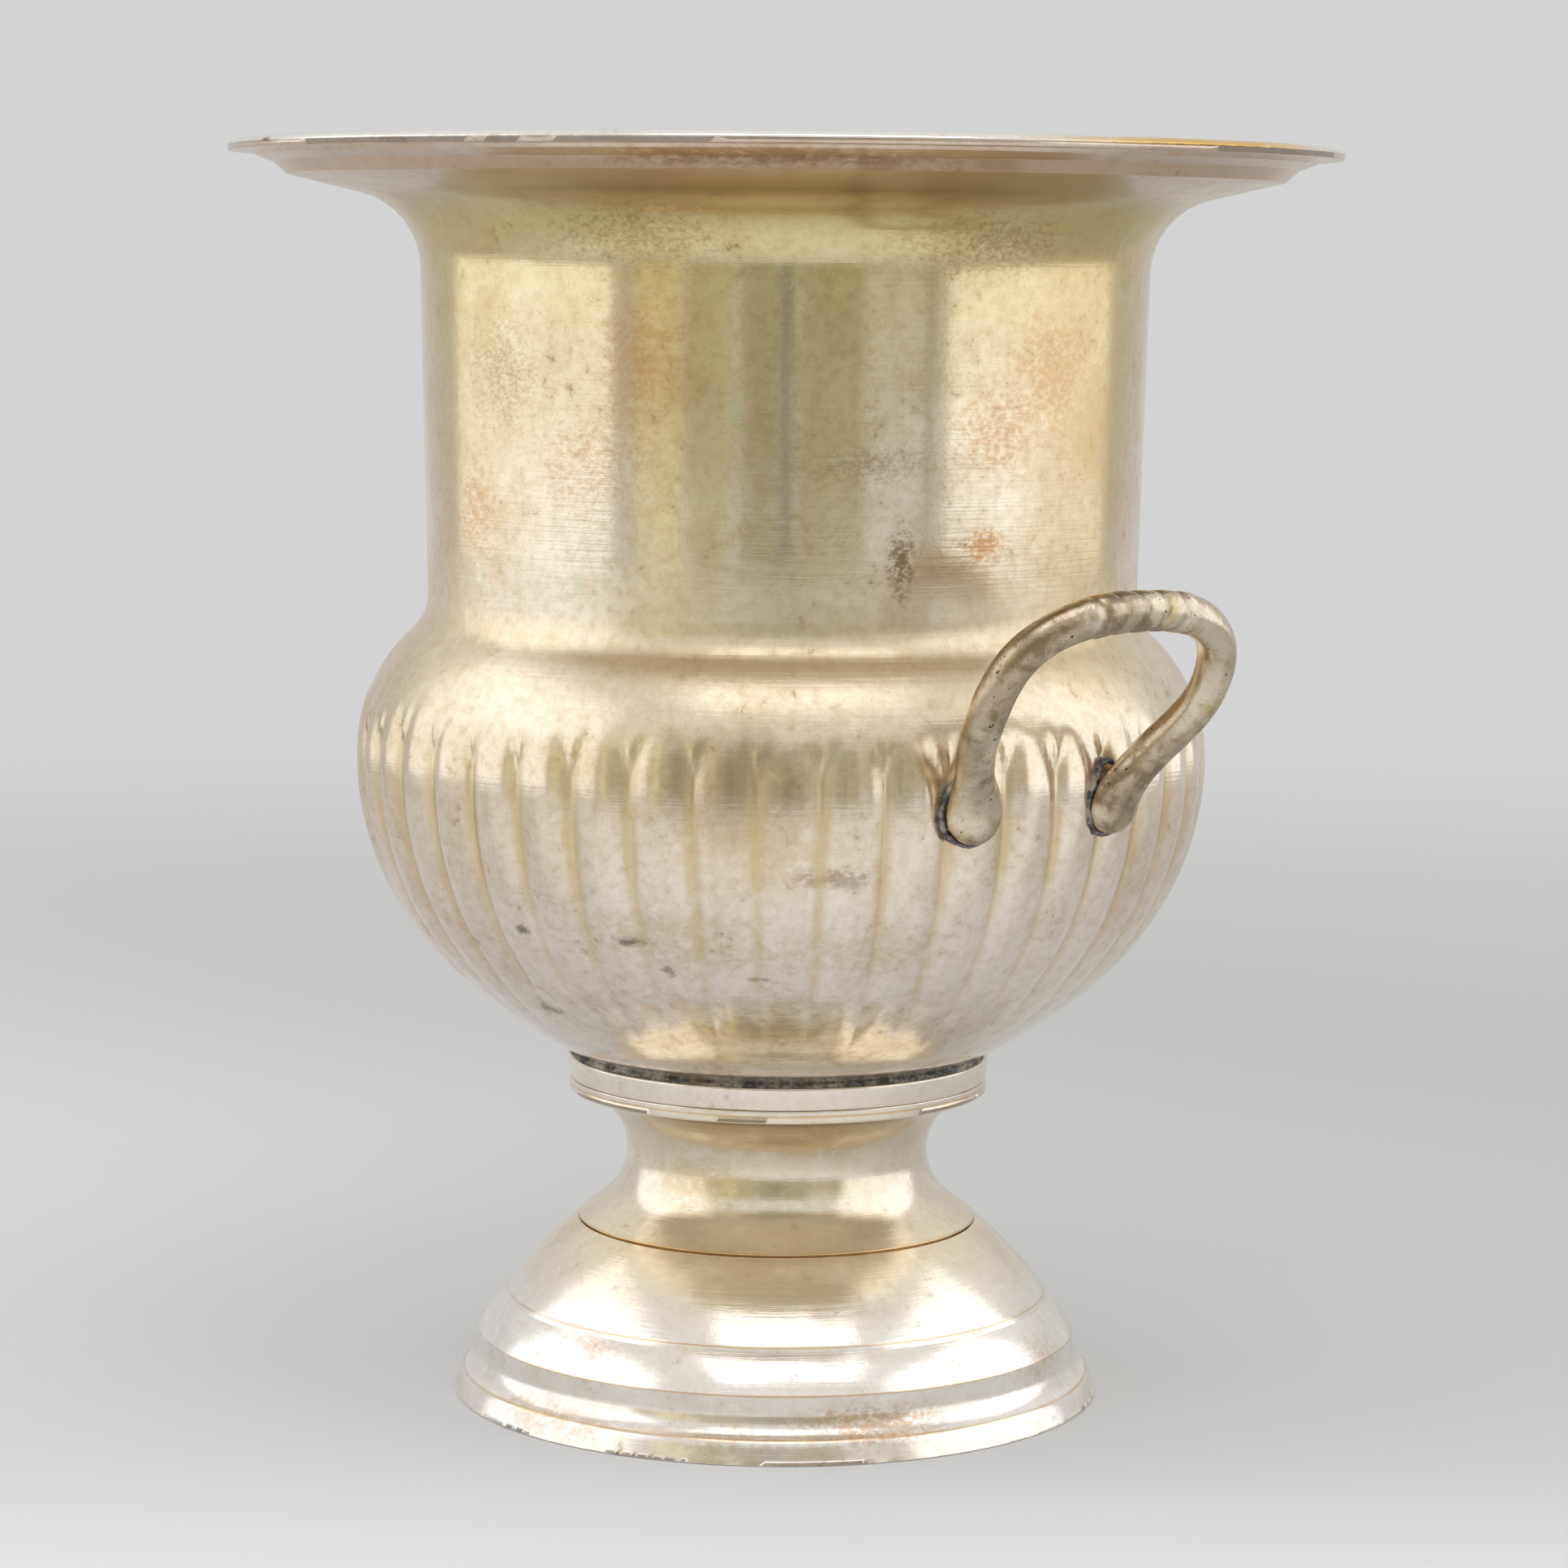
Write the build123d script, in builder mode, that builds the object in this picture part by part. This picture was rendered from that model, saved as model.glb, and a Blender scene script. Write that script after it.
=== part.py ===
from build123d import *
import os
from math import acos, atan2, cos, degrees, radians, sin, sqrt

# Champagne bucket on a spun foot: an urn with a flared brim and two cast handles.
# Millimetres, +Z up. The origin is the centre of the foot's lower edge, on the axis.
# The handles lie near +X and -X, both turned a little towards +Y. The bowl's flutes, a
# millimetre deep, are left plain.

# ---- driving dimensions -------------------------------------------------------------

overall_height = 250.0
rim_radius = 110.0
sheet = 1.0                      # thickness of every spun sheet

# vessel, outer surface
bowl_radius = 84.6               # at the equator, the widest part of the bowl
side_offset = 26.1               # from the axis to the centre of the arc of the bowl's side
base_flatness = 10.4             # how much the arc of the underside is larger than the bowl
shoulder_radius = 33.0           # arc above the equator
shoulder_width = 13.9            # from the foot of the neck out to the equator
neck_fillet = 7.0                # hollow between the shoulder and the neck
neck_flare = 1.8                 # how far the neck opens towards the brim
throat_radius = 15.0             # hollow between the neck and the brim
brim_rise = 6.1                  # rise of the brim from the throat to its step
brim_fall = 6.6                  # from the top of the rim down to the foot of the step
brim_edge = 11.6                 # from the foot of the step out to the rim
step_run = 2.5
step_rise = 2.3
ledge_run = 3.5                  # flat between the step and the rim
ledge_rise = 1.3

# border wire on the rim
border_width = 5.6
border_height = 1.2
brim_setback = 0.3               # the sheet stops short of the wire's outer edge

# collar ring between the bowl and the stem
foot_height = 68.5               # top of the collar
bowl_drop = 8.5                  # how far the bowl dips into the collar
collar_width = 3.3               # flat top of the ring, outside the bowl's seat
collar_height = 4.5
collar_lean = 0.5                # the face leans in towards its lower edge
spigot_depth = 1.5
fit_clearance = 0.1

# stem
flange_setback = 0.4             # the flange is smaller than the collar
flange_round = 0.8
waist_radius = 30.4
waist_arc = 12.5
flange_angle = 82.7              # where the waist's arc runs out under the flange
lap_angle = 38.0                 # fall of the lower flange
lap_radius = 40.2                # lower edge of the stem

# foot
foot_radius = 65.3
lap_length = 3.5                 # how far the foot runs up inside the stem
lap_step = 0.3                   # height of the stem's edge above the foot
ring_insets = (10.8, 4.9, 2.1)   # the three steps, in from the foot's edge
ring_heights = (20.3, 12.3, 4.5)
ring_step = 0.4
ring_drop = 1.0                  # height of the small step under the top ring
ring_bulge = 0.4
band_height = 3.2                # upright band under the middle step
lip_trim = 1.5                   # the lip's line runs on to this many lengths, cut at z = 0

# handles
bar_radius = 3.7
lug_radius = 5.9
lug_height = 3.2
lug_spread = 16.4                # centre of a lug from the handle's own mid-plane
lug_drop = 2.8                   # below the equator
handle_skew = 6.5                # degrees by which the handles miss standing opposite each other
knuckle_count = 5
knuckle_pitch = 4.6
knuckle_radius = 4.1
knuckle_width = 3.4

# soft solder
solder_leg = 1.6                 # reach of a fillet along the surface
solder_height = 1.3

# ---- places worked out from them ----------------------------------------------------

side_radius = bowl_radius - side_offset
base_radius = bowl_radius + base_flatness
belly_angle = degrees(acos(side_offset / (base_radius - side_radius)))
bowl_floor = foot_height - bowl_drop
base_centre_z = bowl_floor + base_radius
equator_z = base_centre_z - (base_radius - side_radius) * sin(radians(belly_angle))
shoulder_centre = bowl_radius - shoulder_radius
neck_radius = bowl_radius - shoulder_width
fillet_x = neck_radius + neck_fillet - shoulder_centre
fillet_rise = sqrt((shoulder_radius + neck_fillet) ** 2 - fillet_x**2)
shoulder_sweep = degrees(atan2(fillet_rise, fillet_x))
throat_corner = neck_radius + neck_flare
step_radius = rim_radius - brim_edge
step_z = overall_height - brim_fall
sheet_top = overall_height - border_height
lip_z = sheet_top - sheet


def bowl_surface_radius(z):
    """Outer radius of the bowl at a height between its bottom and the neck fillet."""
    if z > equator_z:
        return shoulder_centre + sqrt(shoulder_radius**2 - (z - equator_z) ** 2)
    if z > equator_z - side_radius * sin(radians(belly_angle)):
        return side_offset + sqrt(side_radius**2 - (z - equator_z) ** 2)
    return sqrt(base_radius**2 - (z - base_centre_z) ** 2)


seat_radius = bowl_surface_radius(foot_height)
collar_radius = seat_radius + collar_width
flange_radius = collar_radius - flange_setback
flange_top = foot_height - collar_height
flange_floor = flange_top - spigot_depth - fit_clearance - sheet
waist_z = flange_floor - waist_arc * sin(radians(flange_angle))

# ---- vessel -------------------------------------------------------------------------


def vessel_line():
    """Outer line of the vessel, from the bottom of the bowl up to the edge of the brim."""
    CenterArc((0, base_centre_z), base_radius, -90, 90 - belly_angle)
    CenterArc((side_offset, equator_z), side_radius, -belly_angle, belly_angle)
    shoulder = CenterArc((shoulder_centre, equator_z), shoulder_radius, 0, shoulder_sweep)
    root = TangentArc(shoulder @ 1, (neck_radius, equator_z + fillet_rise), tangent=shoulder % 1)
    FilletPolyline(
        root @ 1,
        (throat_corner, step_z - brim_rise),
        (step_radius, step_z),
        (step_radius + step_run, step_z + step_rise),
        (step_radius + step_run + ledge_run, step_z + step_rise + ledge_rise),
        (rim_radius - border_width + sheet / 2, lip_z),
        (rim_radius - brim_setback, lip_z),
        radius=[
            min(throat_radius, step_radius - throat_corner),
            sheet / 2,
            sheet,
            sheet / 4,
            sheet / 4,
        ],
    )


with BuildPart() as vessel_envelope:
    with BuildSketch(Plane.XZ):
        with BuildLine():
            vessel_line()
            Polyline(
                (rim_radius - brim_setback, lip_z),
                (rim_radius - brim_setback, sheet_top),
                (0, sheet_top),
                (0, bowl_floor),
            )
        make_face()
    revolve(axis=Axis.Z)

with BuildPart() as bucket_shell:
    with BuildSketch(Plane.XZ):
        with BuildLine():
            vessel_line()
            offset(amount=sheet, side=Side.LEFT)
        make_face()
    revolve(axis=Axis.Z)
bucket_shell.part.label = "bucket_shell"

with BuildPart() as rim_border:
    with BuildSketch(Plane.XZ):
        with Locations((rim_radius - border_width / 2, sheet_top)):
            Ellipse(border_width / 2, border_height)
            Rectangle(border_width, 2 * border_height, align=(Align.CENTER, Align.MAX),
                      mode=Mode.SUBTRACT)
    revolve(axis=Axis.Z)
rim_border.part.label = "rim_border"

# ---- collar and foot ----------------------------------------------------------------

spigot_radius = flange_radius - sheet - fit_clearance

with BuildPart() as collar_ring:
    with BuildSketch(Plane.XZ):
        with BuildLine():
            Polyline(
                (seat_radius, flange_top - spigot_depth),
                (spigot_radius, flange_top - spigot_depth),
                (spigot_radius, flange_top),
                (collar_radius - collar_lean, flange_top),
                (collar_radius, foot_height),
                (seat_radius, foot_height),
                close=True,
            )
        make_face()
    revolve(axis=Axis.Z)
collar_ring.part.label = "collar_ring"

lap_fall = radians(lap_angle)
lap_slope = sin(lap_fall) / cos(lap_fall)
arc_centre = waist_radius + waist_arc
lap_start = (arc_centre - waist_arc * sin(lap_fall), waist_z - waist_arc * cos(lap_fall))
lap_z = lap_start[1] - (lap_radius - lap_start[0]) * lap_slope
flange_run = arc_centre - waist_arc * cos(radians(flange_angle))

with BuildPart() as foot_stem:
    with BuildSketch(Plane.XZ):
        with BuildLine():
            rim = FilletPolyline(
                (flange_radius, flange_top),
                (flange_radius, flange_floor),
                (flange_run, flange_floor),
                radius=flange_round,
            )
            waist = ThreePointArc(rim @ 1, (waist_radius, waist_z), lap_start)
            Line(waist @ 1, (lap_radius, lap_z))
            offset(amount=sheet, side=Side.RIGHT)
        make_face()
    revolve(axis=Axis.Z)
foot_stem.part.label = "foot_stem"


def below_lap(radius, depth):
    """Point at a radius along the stem's lower flange and a depth under its outer face."""
    return (
        radius - depth * sin(lap_fall),
        lap_z + (lap_radius - radius) * lap_slope - depth * cos(lap_fall),
    )


ring_radii = [foot_radius - inset for inset in ring_insets]
lip_start = Vector(ring_radii[2] + ring_step, ring_heights[2] - ring_step)
foot_edge = Vector(foot_radius, 0)

with BuildPart() as foot_dome:
    with BuildSketch(Plane.XZ):
        with BuildLine():
            tongue = Polyline(
                below_lap(lap_radius - lap_length, sheet),
                below_lap(lap_radius, sheet),
                below_lap(lap_radius + lap_step, lap_step),
            )
            crown = TangentArc(tongue @ 1, (ring_radii[0], ring_heights[0]), tangent=(1, -lap_slope))
            middle_start = Vector(ring_radii[0] + ring_step, ring_heights[0] - ring_drop)
            middle = SagittaArc(middle_start, (ring_radii[1], ring_heights[1]), ring_bulge)
            Line(crown @ 1, middle @ 0)
            band = Line(middle @ 1, (ring_radii[1], ring_heights[1] - band_height))
            skirt = TangentArc(band @ 1, (ring_radii[2], ring_heights[2]), tangent=(0, -1))
            Polyline(skirt @ 1, lip_start, lip_start + (foot_edge - lip_start) * lip_trim)
            offset(amount=sheet, side=Side.RIGHT)
        make_face()
    revolve(axis=Axis.Z)
    split(bisect_by=Plane.XY, keep=Keep.TOP)
foot_dome.part.label = "foot_dome"

# ---- handles ------------------------------------------------------------------------

lug_z = equator_z - lug_drop
lug_distance = bowl_surface_radius(lug_z)
lug_x = sqrt(lug_distance**2 - lug_spread**2)

# Half of the bar's centre line, from a lug to the mid-plane: sideways, outwards, upwards.
bar_half = (
    (0.0, 1.5, 0.0),
    (4.8, 7.2, 10.5),
    (8.8, 15.7, 20.4),
    (6.6, 22.3, 31.0),
    (-3.4, 26.4, 37.3),
)
bar_top = (26.6, 38.6)

right_side = [Vector(lug_x + out, lug_spread + side, lug_z + up) for side, out, up in bar_half]
left_side = [Vector(point.X, -point.Y, point.Z) for point in reversed(right_side)]
bar_points = right_side + [Vector(lug_x + bar_top[0], 0, lug_z + bar_top[1])] + left_side


def stand(point, turn):
    """Point of a handle at its place on the bowl: the right one for turn 1, its mirror image for -1."""
    placed = point.rotate(Axis.Z, handle_skew / 2)
    return Vector(turn * placed.X, placed.Y, placed.Z)


def lug_plane(side, turn):
    """Plane that touches the bowl at a lug's centre, for side 1 or -1 of a handle at turn 1 or -1."""
    foot = stand(Vector(lug_x, side * lug_spread, lug_z), turn)
    fall = (lug_z - equator_z) / (lug_distance - side_offset)
    return Plane(origin=foot, z_dir=Vector(foot.X, foot.Y, lug_distance * fall))


handles = []
for handle_name, turn in (("handle_right", 1), ("handle_left", -1)):
    with BuildPart() as handle:
        with BuildLine():
            bar_line = Spline(*[stand(point, turn) for point in bar_points])
        with BuildSketch(Plane(origin=bar_line @ 0, z_dir=bar_line % 0)):
            Circle(bar_radius)
        sweep(path=bar_line)
        for step in range(knuckle_count):
            distance = bar_line.length / 2 + (step - (knuckle_count - 1) / 2) * knuckle_pitch
            place = bar_line.location_at(distance, position_mode=PositionMode.LENGTH)
            with Locations(place):
                Cylinder(knuckle_radius, knuckle_width)
        for side in (1, -1):
            with BuildSketch(lug_plane(side, turn).offset(-sheet)):
                Circle(lug_radius)
            extrude(amount=lug_height + sheet)
        add(vessel_envelope.part, mode=Mode.SUBTRACT)
    handle.part.label = handle_name
    handles.append(handle)

# ---- soft solder --------------------------------------------------------------------

with BuildPart() as collar_solder:
    with BuildSketch(Plane.XZ):
        with BuildLine():
            Polyline(
                (seat_radius - sheet, foot_height),
                (collar_radius - fit_clearance, foot_height),
                (collar_radius - fit_clearance, foot_height + solder_height / 2),
                (seat_radius + sheet, foot_height + 2 * solder_height),
                close=True,
            )
        make_face()
    revolve(axis=Axis.Z)
    add(vessel_envelope.part, mode=Mode.SUBTRACT)
collar_solder.part.label = "collar_solder"

with BuildPart() as seam_solder:
    with BuildSketch(Plane.XZ):
        with BuildLine():
            Polyline(
                below_lap(lap_radius - lap_length, sheet),
                below_lap(lap_radius - lap_length, 2 * sheet),
                below_lap(lap_radius - lap_length - solder_leg, sheet),
                close=True,
            )
        make_face()
    revolve(axis=Axis.Z)
seam_solder.part.label = "seam_solder"

lug_solders = []
for handle, turn in zip(handles, (1, -1)):
    for side, side_name in ((1, "back"), (-1, "front")):
        with BuildPart() as lug_solder:
            with BuildSketch(lug_plane(side, turn).offset(-2 * sheet)):
                Circle(lug_radius + solder_leg)
            extrude(amount=solder_height + 2 * sheet)
            add(vessel_envelope.part, mode=Mode.SUBTRACT)
            add(handle.part, mode=Mode.SUBTRACT)
        lug_solder.part.label = handle.part.label.replace("handle", "lug_solder") + "_" + side_name
        lug_solders.append(lug_solder)

# ---- export -------------------------------------------------------------------------

os.makedirs("parts", exist_ok=True)
pieces = [bucket_shell, rim_border, collar_ring, foot_stem, foot_dome]
pieces += handles + [collar_solder, seam_solder] + lug_solders
for piece in pieces:
    solids = piece.part.solids()
    print(piece.part.label, len(solids), [round(solid.volume, 1) for solid in solids])
    export_step(piece.part, f"parts/{piece.part.label}.step")
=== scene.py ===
"""Urn-shaped champagne bucket in worn silver plate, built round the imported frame.

Lengths in the classes are millimetres, and `loft` turns them into metres. The bucket stands on z = 0
with its axis on z and its handles on +x and -x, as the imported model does.
"""

import logging
import math
from dataclasses import dataclass
from enum import Enum

import bpy
import numpy as np
from mathutils import Matrix, Vector


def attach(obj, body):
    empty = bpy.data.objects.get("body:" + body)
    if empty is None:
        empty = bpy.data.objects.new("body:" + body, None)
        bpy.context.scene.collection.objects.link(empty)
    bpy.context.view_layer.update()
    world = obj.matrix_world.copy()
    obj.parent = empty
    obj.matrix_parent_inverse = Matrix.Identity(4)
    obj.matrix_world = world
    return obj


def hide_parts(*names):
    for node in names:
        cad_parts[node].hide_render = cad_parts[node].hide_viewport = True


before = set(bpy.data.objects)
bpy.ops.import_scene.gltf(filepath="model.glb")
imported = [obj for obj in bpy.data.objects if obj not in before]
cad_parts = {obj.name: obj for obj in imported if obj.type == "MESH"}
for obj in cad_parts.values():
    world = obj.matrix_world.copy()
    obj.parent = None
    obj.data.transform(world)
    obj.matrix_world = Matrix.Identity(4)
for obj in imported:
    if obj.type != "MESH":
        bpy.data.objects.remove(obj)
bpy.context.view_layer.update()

LOG = logging.getLogger("champagne_bucket")
MM = 0.001
CAMERA_AZIMUTH = 57.49           # degrees, from the front (-y) towards +x


# ---- numbers and lines ---------------------------------------------------------------


def srgb(red: float, green: float, blue: float) -> tuple[float, float, float, float]:
    """A display colour of 0 to 255 as scene-linear red, green, blue and an alpha of 1.

    Args:
        red, green, blue: the display values.

    Returns:
        The linear colour: the standard curve, a power of 2.4 above its short straight foot.
    """
    linear = [v / 3294.6 if v <= 10.31 else ((v / 255 + 0.055) / 1.055) ** 2.4 for v in (red, green, blue)]
    return (*linear, 1.0)


def arc(centre: tuple[float, float], radius: float, start: float, end: float, count: int) -> np.ndarray:
    """Points on an arc: the centre plus the radius times cosine and sine of evenly spaced angles.

    Args:
        centre: radius and height of the centre.
        radius: the arc's radius.
        start: first angle in degrees.
        end: last angle in degrees.
        count: number of points.

    Returns:
        An array of (radius, height) rows.
    """
    angle = np.radians(np.linspace(start, end, count))
    return np.column_stack((centre[0] + radius * np.cos(angle), centre[1] + radius * np.sin(angle)))


def rounded(
    corners: np.ndarray, radii: np.ndarray | float, steps: int = 5, sharpest: float = 25.0
) -> np.ndarray:
    """A line with its sharp corners turned into arcs.

    Each arc is the rational curve ((1-t)^2 a + 2 w t(1-t) p + t^2 b) / ((1-t)^2 + 2 w t(1-t) + t^2) from
    a to b, the points at radius * tan(half the turn) before and after the corner p, with w the cosine of
    half the turn. One more point stands on each side of the arc, so that its shading ends there.

    Args:
        corners: the line's (radius, height) rows.
        radii: a radius for each inner corner, or one for all.
        steps: points on each arc.
        sharpest: corners that turn by less than this many degrees stay as they are.

    Returns:
        The new line.
    """
    line = np.asarray(corners, float)
    leg = np.diff(line, axis=0)
    length = np.linalg.norm(leg, axis=1)
    leg = leg / length[:, None]
    turn = np.arccos(np.clip((leg[:-1] * leg[1:]).sum(1), -1, 1))
    room = 0.45 * np.minimum(length[:-1], length[1:])
    reach = np.minimum(np.asarray(radii, float) * np.tan(turn / 2), room)[:, None, None]
    corner = line[1:-1, None]
    before, after = leg[:-1, None], leg[1:, None]
    weight = np.cos(turn / 2)[:, None, None]
    t = np.linspace(0, 1, steps)[None, :, None]
    share = (1 - t) ** 2 + 2 * weight * t * (1 - t) + t**2
    start, end = corner - before * reach, corner + after * reach
    curve = ((1 - t) ** 2 * start + 2 * weight * t * (1 - t) * corner + t**2 * end) / share
    guard = np.minimum(2.2 * reach, room[:, None, None])
    curve = np.concatenate((corner - before * guard, curve, corner + after * guard), axis=1)
    sharp = (np.degrees(turn) > sharpest)[:, None]
    first = np.arange(steps + 2)[None, :] == 0
    points = np.where(sharp[..., None], curve, corner)
    return np.vstack((line[:1], points[sharp | first], line[-1:]))


def fill(line: np.ndarray, gap: float) -> np.ndarray:
    """A line with evenly spaced points added on its legs, so that no leg is longer than a gap.

    Args:
        line: rows of coordinates.
        gap: the longest leg allowed.

    Returns:
        The new line.
    """
    leg = np.diff(line, axis=0)
    parts = np.maximum(1, np.ceil(np.linalg.norm(leg, axis=1) / gap - 1e-6)).astype(int)
    index = np.arange(parts.sum()) - np.repeat(np.cumsum(parts) - parts, parts)
    step = np.repeat(leg / parts[:, None], parts, axis=0)
    return np.vstack((np.repeat(line[:-1], parts, axis=0) + step * index[:, None], line[-1:]))


def right_normals(line: np.ndarray) -> np.ndarray:
    """Unit normals on the right of a line's direction of travel: (dz, -dr), from neighbouring points."""
    along = np.gradient(line, axis=0)
    along = along / np.maximum(np.linalg.norm(along, axis=1, keepdims=True), 1e-9)
    return np.column_stack((along[:, 1], -along[:, 0]))


def inner_face(line: np.ndarray, thickness: float) -> np.ndarray:
    """The other face of a sheet, travelling back: each point less its normal times the thickness.

    Points where the shifted line would run backwards, inside a tight corner, are left out.

    Args:
        line: the sheet's outer face.
        thickness: the sheet's thickness.

    Returns:
        The inner face, in reverse order.
    """
    shifted = line - right_normals(line) * thickness
    forward = (np.diff(shifted, axis=0) * np.diff(line, axis=0)).sum(1) > 0
    keep = np.concatenate(([True], forward)) & np.concatenate((forward, [True]))
    keep[[0, -1]] = True
    return shifted[keep][::-1]


def smooth_path(points: np.ndarray, spacing: float) -> np.ndarray:
    """A natural cubic spline through points, at even spacing along its length.

    The parameter is the length of the chords. On each stretch the second derivative runs in a straight line
    between its values at the knots, and those values come from one system of equations.

    Args:
        points: rows of coordinates.
        spacing: distance between the points returned.

    Returns:
        Rows of coordinates.
    """
    knot = np.concatenate(([0], np.cumsum(np.linalg.norm(np.diff(points, axis=0), axis=1))))
    width = np.diff(knot)
    inner = np.arange(1, len(knot) - 1)
    system = np.eye(len(knot))
    system[inner, inner - 1] = width[:-1]
    system[inner, inner] = 2 * (width[:-1] + width[1:])
    system[inner, inner + 1] = width[1:]
    right = np.zeros_like(points)
    right[1:-1] = 6 * np.diff(np.diff(points, axis=0) / width[:, None], axis=0)
    bend = np.linalg.solve(system, right)
    at = np.linspace(0, knot[-1], 40 * len(knot))
    k = np.clip(np.searchsorted(knot, at, side="right") - 1, 0, len(knot) - 2)
    left, gone, span = (knot[k + 1] - at)[:, None], (at - knot[k])[:, None], width[k][:, None]
    line = (bend[k] * left**3 + bend[k + 1] * gone**3) / (6 * span)
    line += (points[k] / span - bend[k] * span / 6) * left
    line += (points[k + 1] / span - bend[k + 1] * span / 6) * gone
    run = np.concatenate(([0], np.cumsum(np.linalg.norm(np.diff(line, axis=0), axis=1))))
    even = np.linspace(0, run[-1], int(run[-1] / spacing) + 1)
    return np.column_stack([np.interp(even, run, line[:, axis]) for axis in range(3)])


def smoothstep(value: np.ndarray) -> np.ndarray:
    """Zero below 0, one above 1, and 3v^2 - 2v^3 between."""
    v = np.clip(value, 0, 1)
    return v * v * (3 - 2 * v)


def ripple(
    around: np.ndarray, along: np.ndarray, waves: tuple[int, int], rise: float, seed: int
) -> np.ndarray:
    """A slow unevenness that closes on itself: the mean of cosines of n * around + k * along + phase.

    Args:
        around: angle in radians.
        along: place along the piece, in radians of its slowest wave.
        waves: the lowest and highest n.
        rise: largest k.
        seed: seed of the random draws.

    Returns:
        Values between -1 and 1.
    """
    count = 8
    draw = np.random.default_rng(seed)
    n = draw.integers(waves[0], waves[1] + 1, count)
    k = draw.uniform(-rise, rise, count)
    phase = draw.uniform(0, 2 * np.pi, count)
    return np.cos(around[..., None] * n + along[..., None] * k + phase).mean(-1)


# ---- meshes --------------------------------------------------------------------------


def loft(
    name: str, rings: np.ndarray, looped: bool = False, hollow: np.ndarray | None = None
) -> bpy.types.Object:
    """A surface over a grid of points whose rows are closed rings.

    Quad i, j joins (i, j), (i, j+1), (i+1, j+1) and (i+1, j), with j+1 taken round the ring. The last ring
    joins the first if the surface is looped. If not, the first and last rings shrink to one point each,
    their mean, and triangles close the surface there.

    Args:
        name: name of the piece.
        rings: array of rings by points by three coordinates, in millimetres.
        looped: whether the last ring joins the first.
        hollow: a value for each point of the grid, from 0 on open metal to 1 in a hollow that holds dirt.

    Returns:
        The new object, in metres.
    """
    rows, columns = rings.shape[:2]
    i = np.arange(rows if looped else rows - 1)[:, None]
    j = np.arange(columns)[None, :]
    here, over = i * columns, ((i + 1) % rows) * columns
    beside = (j + 1) % columns
    corners = np.broadcast_arrays(here + j, here + beside, over + beside, over + j)
    corners = np.stack(corners, axis=-1).reshape(-1, 4)
    points, value = rings.reshape(-1, 3) * MM, hollow
    if looped:
        loops, sizes = corners.ravel(), np.full(len(corners), 4)
    else:
        last = (rows - 1) * columns
        renumber = np.clip(np.arange(rows * columns) - columns + 1, 0, last - columns + 1)
        middle = points[columns:last]
        points = np.vstack((points[:columns].mean(0), middle, points[last:].mean(0)))
        start = renumber[corners[:columns, [0, 2, 3]]]
        end = renumber[corners[-columns:, :3]]
        loops = np.concatenate((start.ravel(), renumber[corners[columns:-columns]].ravel(), end.ravel()))
        cap = np.full(columns, 3)
        sizes = np.concatenate((cap, np.full(len(corners) - 2 * columns, 4), cap))
        if value is not None:
            flat = value.reshape(-1)
            value = np.concatenate((flat[:1], flat[columns:last], flat[-1:]))
    mesh = bpy.data.meshes.new(name)
    mesh.vertices.add(len(points))
    mesh.vertices.foreach_set("co", points.ravel())
    mesh.loops.add(len(loops))
    mesh.loops.foreach_set("vertex_index", loops.astype(np.int32))
    mesh.polygons.add(len(sizes))
    mesh.polygons.foreach_set("loop_start", (np.cumsum(sizes) - sizes).astype(np.int32))
    mesh.polygons.foreach_set("use_smooth", np.ones(len(sizes), bool))
    if value is not None:
        layer = mesh.attributes.new("hollow", "FLOAT", "POINT")
        layer.data.foreach_set("value", value.astype(np.float32).ravel())
    mesh.update(calc_edges=True)
    mesh.validate()
    piece = bpy.data.objects.new(name, mesh)
    bpy.context.scene.collection.objects.link(piece)
    return piece


def turned_rings(line: np.ndarray, columns: int, lift: np.ndarray | float = 0.0) -> np.ndarray:
    """Rings of a turned surface: x = r cos a, y = r sin a, with the line lifted along its right normal.

    Args:
        line: the profile's (radius, height) rows.
        columns: points on each ring.
        lift: one value, or a value for each point of the grid.

    Returns:
        Rings by points by three coordinates.
    """
    angle = ring_angles(columns)[None, :]
    normal = right_normals(line)
    radius = line[:, :1] + normal[:, :1] * lift
    height = line[:, 1:] + normal[:, 1:] * lift
    height = np.broadcast_to(height, np.broadcast_shapes(height.shape, angle.shape))
    return np.stack((radius * np.cos(angle), radius * np.sin(angle), height), axis=-1)


def ring_angles(columns: int) -> np.ndarray:
    """Evenly spaced angles round a full turn, in radians."""
    return np.arange(columns) * 2 * np.pi / columns


def finish_piece(
    piece: bpy.types.Object, material: bpy.types.Material, nodes: tuple[str, ...]
) -> None:
    """Dresses a piece, ties it to the bucket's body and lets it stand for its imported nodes.

    Args:
        piece: the piece.
        material: its finish.
        nodes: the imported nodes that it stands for.
    """
    piece.data.materials.append(material)
    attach(piece, "root")
    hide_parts(*nodes)
    LOG.info("%s: %d faces, stands for %s", piece.name, len(piece.data.polygons), ", ".join(nodes))


# ---- shader maths --------------------------------------------------------------------


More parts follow.
